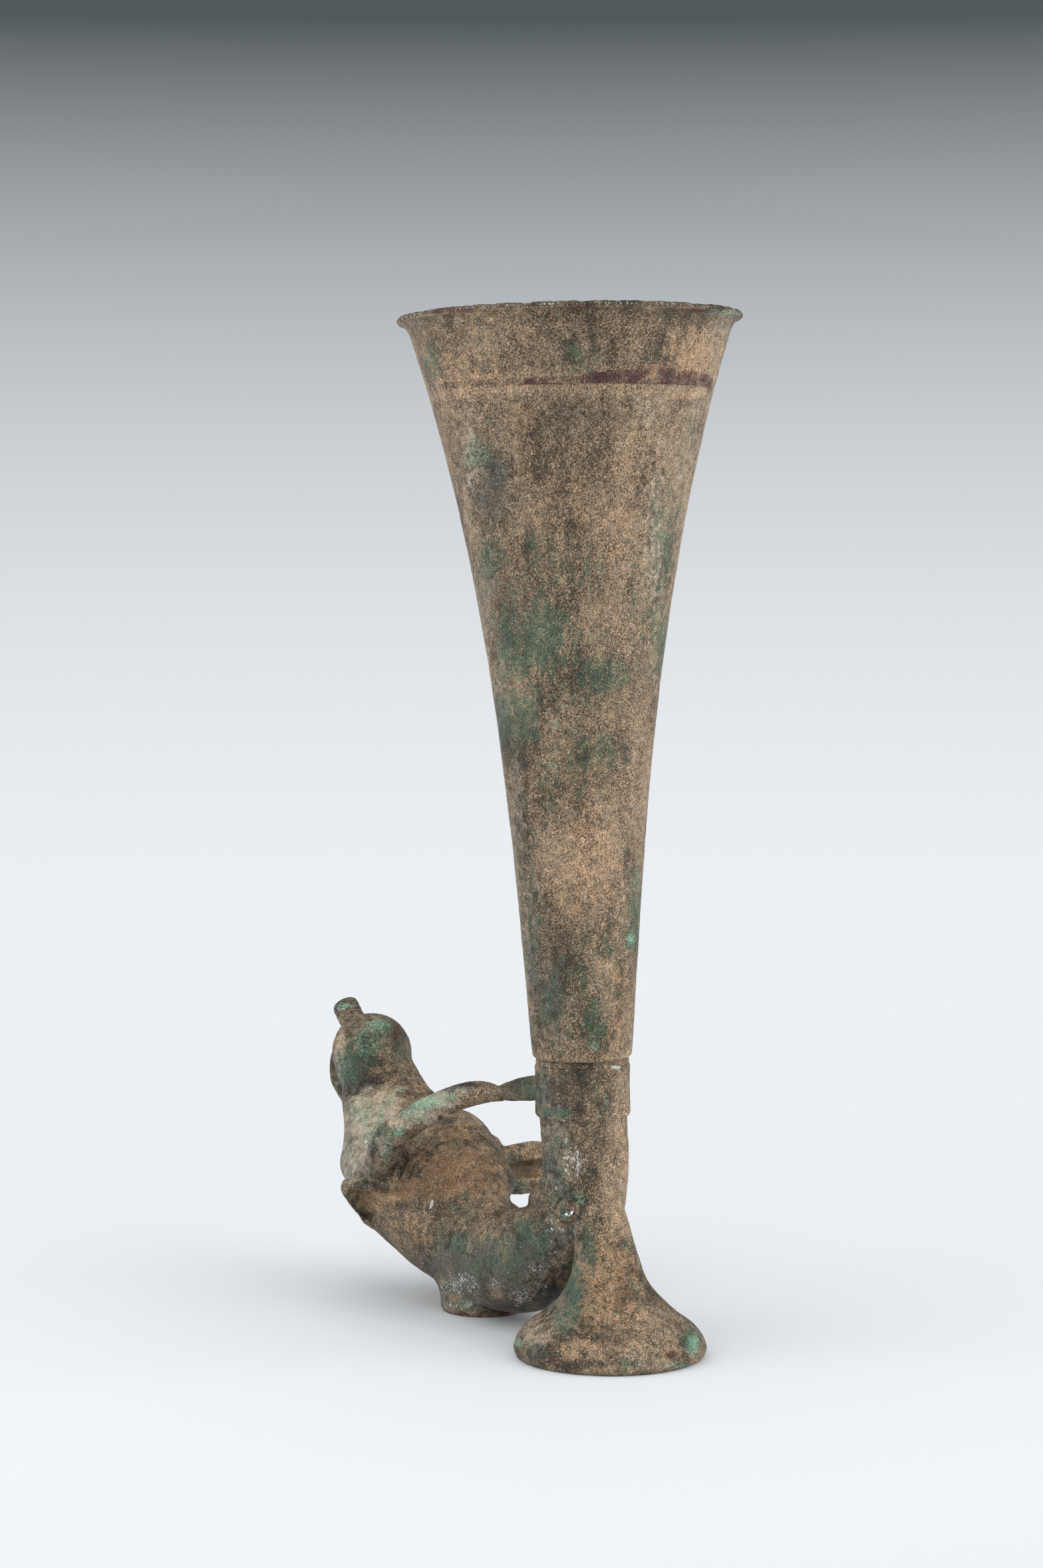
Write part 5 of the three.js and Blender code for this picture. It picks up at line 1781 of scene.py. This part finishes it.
def combHair(mesh):
    u, v, depth = toPhoto(vertexPlaces(mesh))
    right = u - hair["middle"][0]
    gap = np.hypot(right, v - hair["middle"][1])
    share = np.clip((gap - hair["start"]) / hair["fadeIn"], 0, 1)
    share *= np.clip((hair["end"] - gap) / hair["fadeOut"], 0, 1)
    share *= np.clip(2 - np.abs(depth - hair["depth"] * mm) / (hair["reach"] * mm), 0, 1)
    share *= np.clip(right / hair["side"][0] + hair["side"][1], 0, 1)
    paintValue(mesh, "hair", gap / hair["pitch"])
    paintValue(mesh, "hairShare", share)


def photoBar(line, steps):
    points = [offStem(atDepth(u, v, depth * mm)) for u, v, depth, _ in line]
    return barSkin(points, [radius for *_, radius in line], steps)


def stubSkin():
    back, up, halfway, end = horn["root"]
    stub = headPoint(horn["section"], horn["angle"], 0) + np.array((-back, 0, up))
    path = [mirrored(place, -1) for place in (hornRoot, (hornRoot + stub) / 2, stub)]
    return barSkin(path, (horn["rootRadius"], halfway, end), steps=12)


crispRadii = {"ear": 17, "rim": 7}  # mm round what stays crisp when the creases are filled


def crispPlaces():
    _, angle, reach = ears["right"]
    places = [(mirrored(headPoint(ears["section"], angle, reach / 2), -1), crispRadii["ear"])]
    for u, v, depth, *_ in scoop["rim"][:10:2] + horn["line"][:5]:
        places.append((offStem(atDepth(u, v, depth * mm)), crispRadii["rim"]))
    return places


def makeHead():
    x, z, *halfSizes = body["ball"]
    _, along, side, up, _ = spineFrame(lastSection)
    meshes = [
        skin(spineSkin(body["headSplit"] - body["splitOverlap"], lastSection)),
        ballSkin(np.array((x, 0, z)), along, side, up, *halfSizes),
        photoBar(horn["line"], steps=70), photoBar(lipLine, steps=40),
        scoopSkin(), earSkin(*ears["right"]), stubSkin(),
    ]
    mesh = fused("headCasting", meshes, softening["coarse"])
    fillCreases(mesh, softening["headRounds"], crispPlaces())
    mesh = remeshed(mesh, softening["headVoxel"])
    smoothed(mesh, softening["rounds"])
    stroke(mesh, saddleStrokes + headStrokes)
    modelFace(mesh)
    roughen(mesh)
    paintStains(mesh)
    combHair(mesh)
    splitAt(mesh, body["headSplit"], keepFront=True)
    mesh.materials.append(castBronze)
    setSalt(mesh)
    mesh.shade_smooth()
    hand("headCasting", mesh, "bronze_patina",
         "head_shell", "left_ear", "right_ear", "left_horn", "right_horn_root")


def makeTie():
    end = tieTip + (tieTip - tieRoot) * horn["tieOverlap"]
    path = [tieRoot - tieOut * horn["tieSunk"], (tieRoot + tieTip) / 2, end]
    mesh = barSkin(path, horn["tieRadii"], steps=50)
    mesh = remeshed(mesh, softening["tieVoxel"])
    smoothed(mesh, softening["rounds"])
    roughen(mesh)
    mesh.materials.append(hornBronze)
    mesh.shade_smooth()
    paintStains(mesh)
    hand("hornTie", mesh, "green_patina", "left_horn_tie")


spout = {
    "aside": 1.1, "tilt": 42.0, "radius": 4.75, "wall": 1.5, "length": 10.2, "inside": 3.8, "edge": 0.5,
    "wave": (0.12, 0.9), "rows": 40, "innerRows": 10, "around": 96,
    "relief": {
        "Lump Size": 0.004, "Lump Depth": 0.0002, "Grit Size": 0.0012, "Grit Depth": 0.00014, "Seed": 2.0,
    },
}


def makeSpout():
    x, z, length = body["muzzle"]
    placing = Matrix.Translation(stemFoot + Vector((x, spout["aside"], z)) * mm)
    placing = placing @ Matrix.Rotation(math.radians(90 - spout["tilt"]), 4, "Y")
    low, high, edge = length - spout["inside"], length + spout["length"], spout["edge"]
    outer, bore, rise = spout["radius"], spout["radius"] - spout["wall"], high - edge - low
    swing, pace = spout["wave"]
    rows, innerRows = spout["rows"], spout["innerRows"]
    outline = [(outer + swing * math.sin(i * pace), low + rise * i / rows) for i in range(rows + 1)]
    outline += bend((outer, high - edge), (outer, high), (outer - edge, high), steps=5)[1:]
    outline += bend((bore + edge, high), (bore, high), (bore, high - edge), steps=5)
    outline += [(bore, high - edge - rise * i / innerRows) for i in range(1, innerRows + 1)]
    mesh = turnedMesh("spoutTube", outline, spout["around"], hornBronze, spout["relief"], placing)
    paintStains(mesh)
    hand("spoutTube", mesh, "green_patina", "spout_tube")


disc = {
    "inset": 0.2, "foot": 0.8, "round": 0.5, "side": 1.0, "fall": 0.4, "thick": 1.4,  # mm
    "middle": 0.01, "around": 120,
    "relief": {
        "Lump Size": 0.006, "Lump Depth": 0.00006, "Grit Size": 0.0015, "Grit Depth": 0.00005, "Seed": 6.0,
    },
}


def makeDisc():
    x, radius = body["stump"]
    edge, thick, middle = radius - disc["inset"], disc["thick"], disc["middle"]
    outline = [(middle, 0.0), (radius / 2, 0.0)]
    outline += bend((radius - disc["foot"], 0.0), (edge, 0.0), (edge, disc["round"]), steps=5)
    outline += [(edge, disc["side"]), (edge - disc["fall"], thick), (radius / 2, thick), (middle, thick)]
    placing = Matrix.Translation(stemFoot + Vector((x, 0, 0)) * mm)
    mesh = turnedMesh("chestDisc", outline, disc["around"], crustOre, disc["relief"], placing)
    paintStains(mesh)
    hand("chestDisc", mesh, "bronze_patina", "chest_closing_disc")


# rusted pin ends: a low rough disc in each wall, with the pinholes that let light through
def makePin(name, node, direction, holes):
    out = pinSeats[direction] + direction * pin["proud"]
    head = [roundRing(pinPlace + pinAxis * (out - direction * depth), pinAxis, r) for depth, r in pin["head"]]
    mesh = skin(head)
    for across, rise, radius in holes:
        middle = pinPlace + inPicture(across, rise) + pinAxis * out
        ends = [middle + pinAxis * d for d in (-pin["drill"], pin["drill"])]
        mesh = carved(mesh, skin([roundRing(end, pinAxis, radius, count=20) for end in ends]))
    mesh = remeshed(mesh, softening["pinVoxel"])
    smoothed(mesh, softening["pinRounds"])
    pushOut(mesh, fieldNoise(vertexPlaces(mesh), pin["grit"]) * pin["gritDepth"])
    mesh.materials.clear()
    mesh.materials.append(pinRust)
    mesh.shade_smooth()
    paintStains(mesh)
    hand(name, mesh, "iron_rust", node)


makeNeck()
makeHead()
makeTie()
makeSpout()
makeDisc()
makePin("corePinNear", "core_pin_near", -1, pin["holes"])
makePin("corePinFar", "core_pin_far", 1, pin["farHoles"])
print("cast body is made")
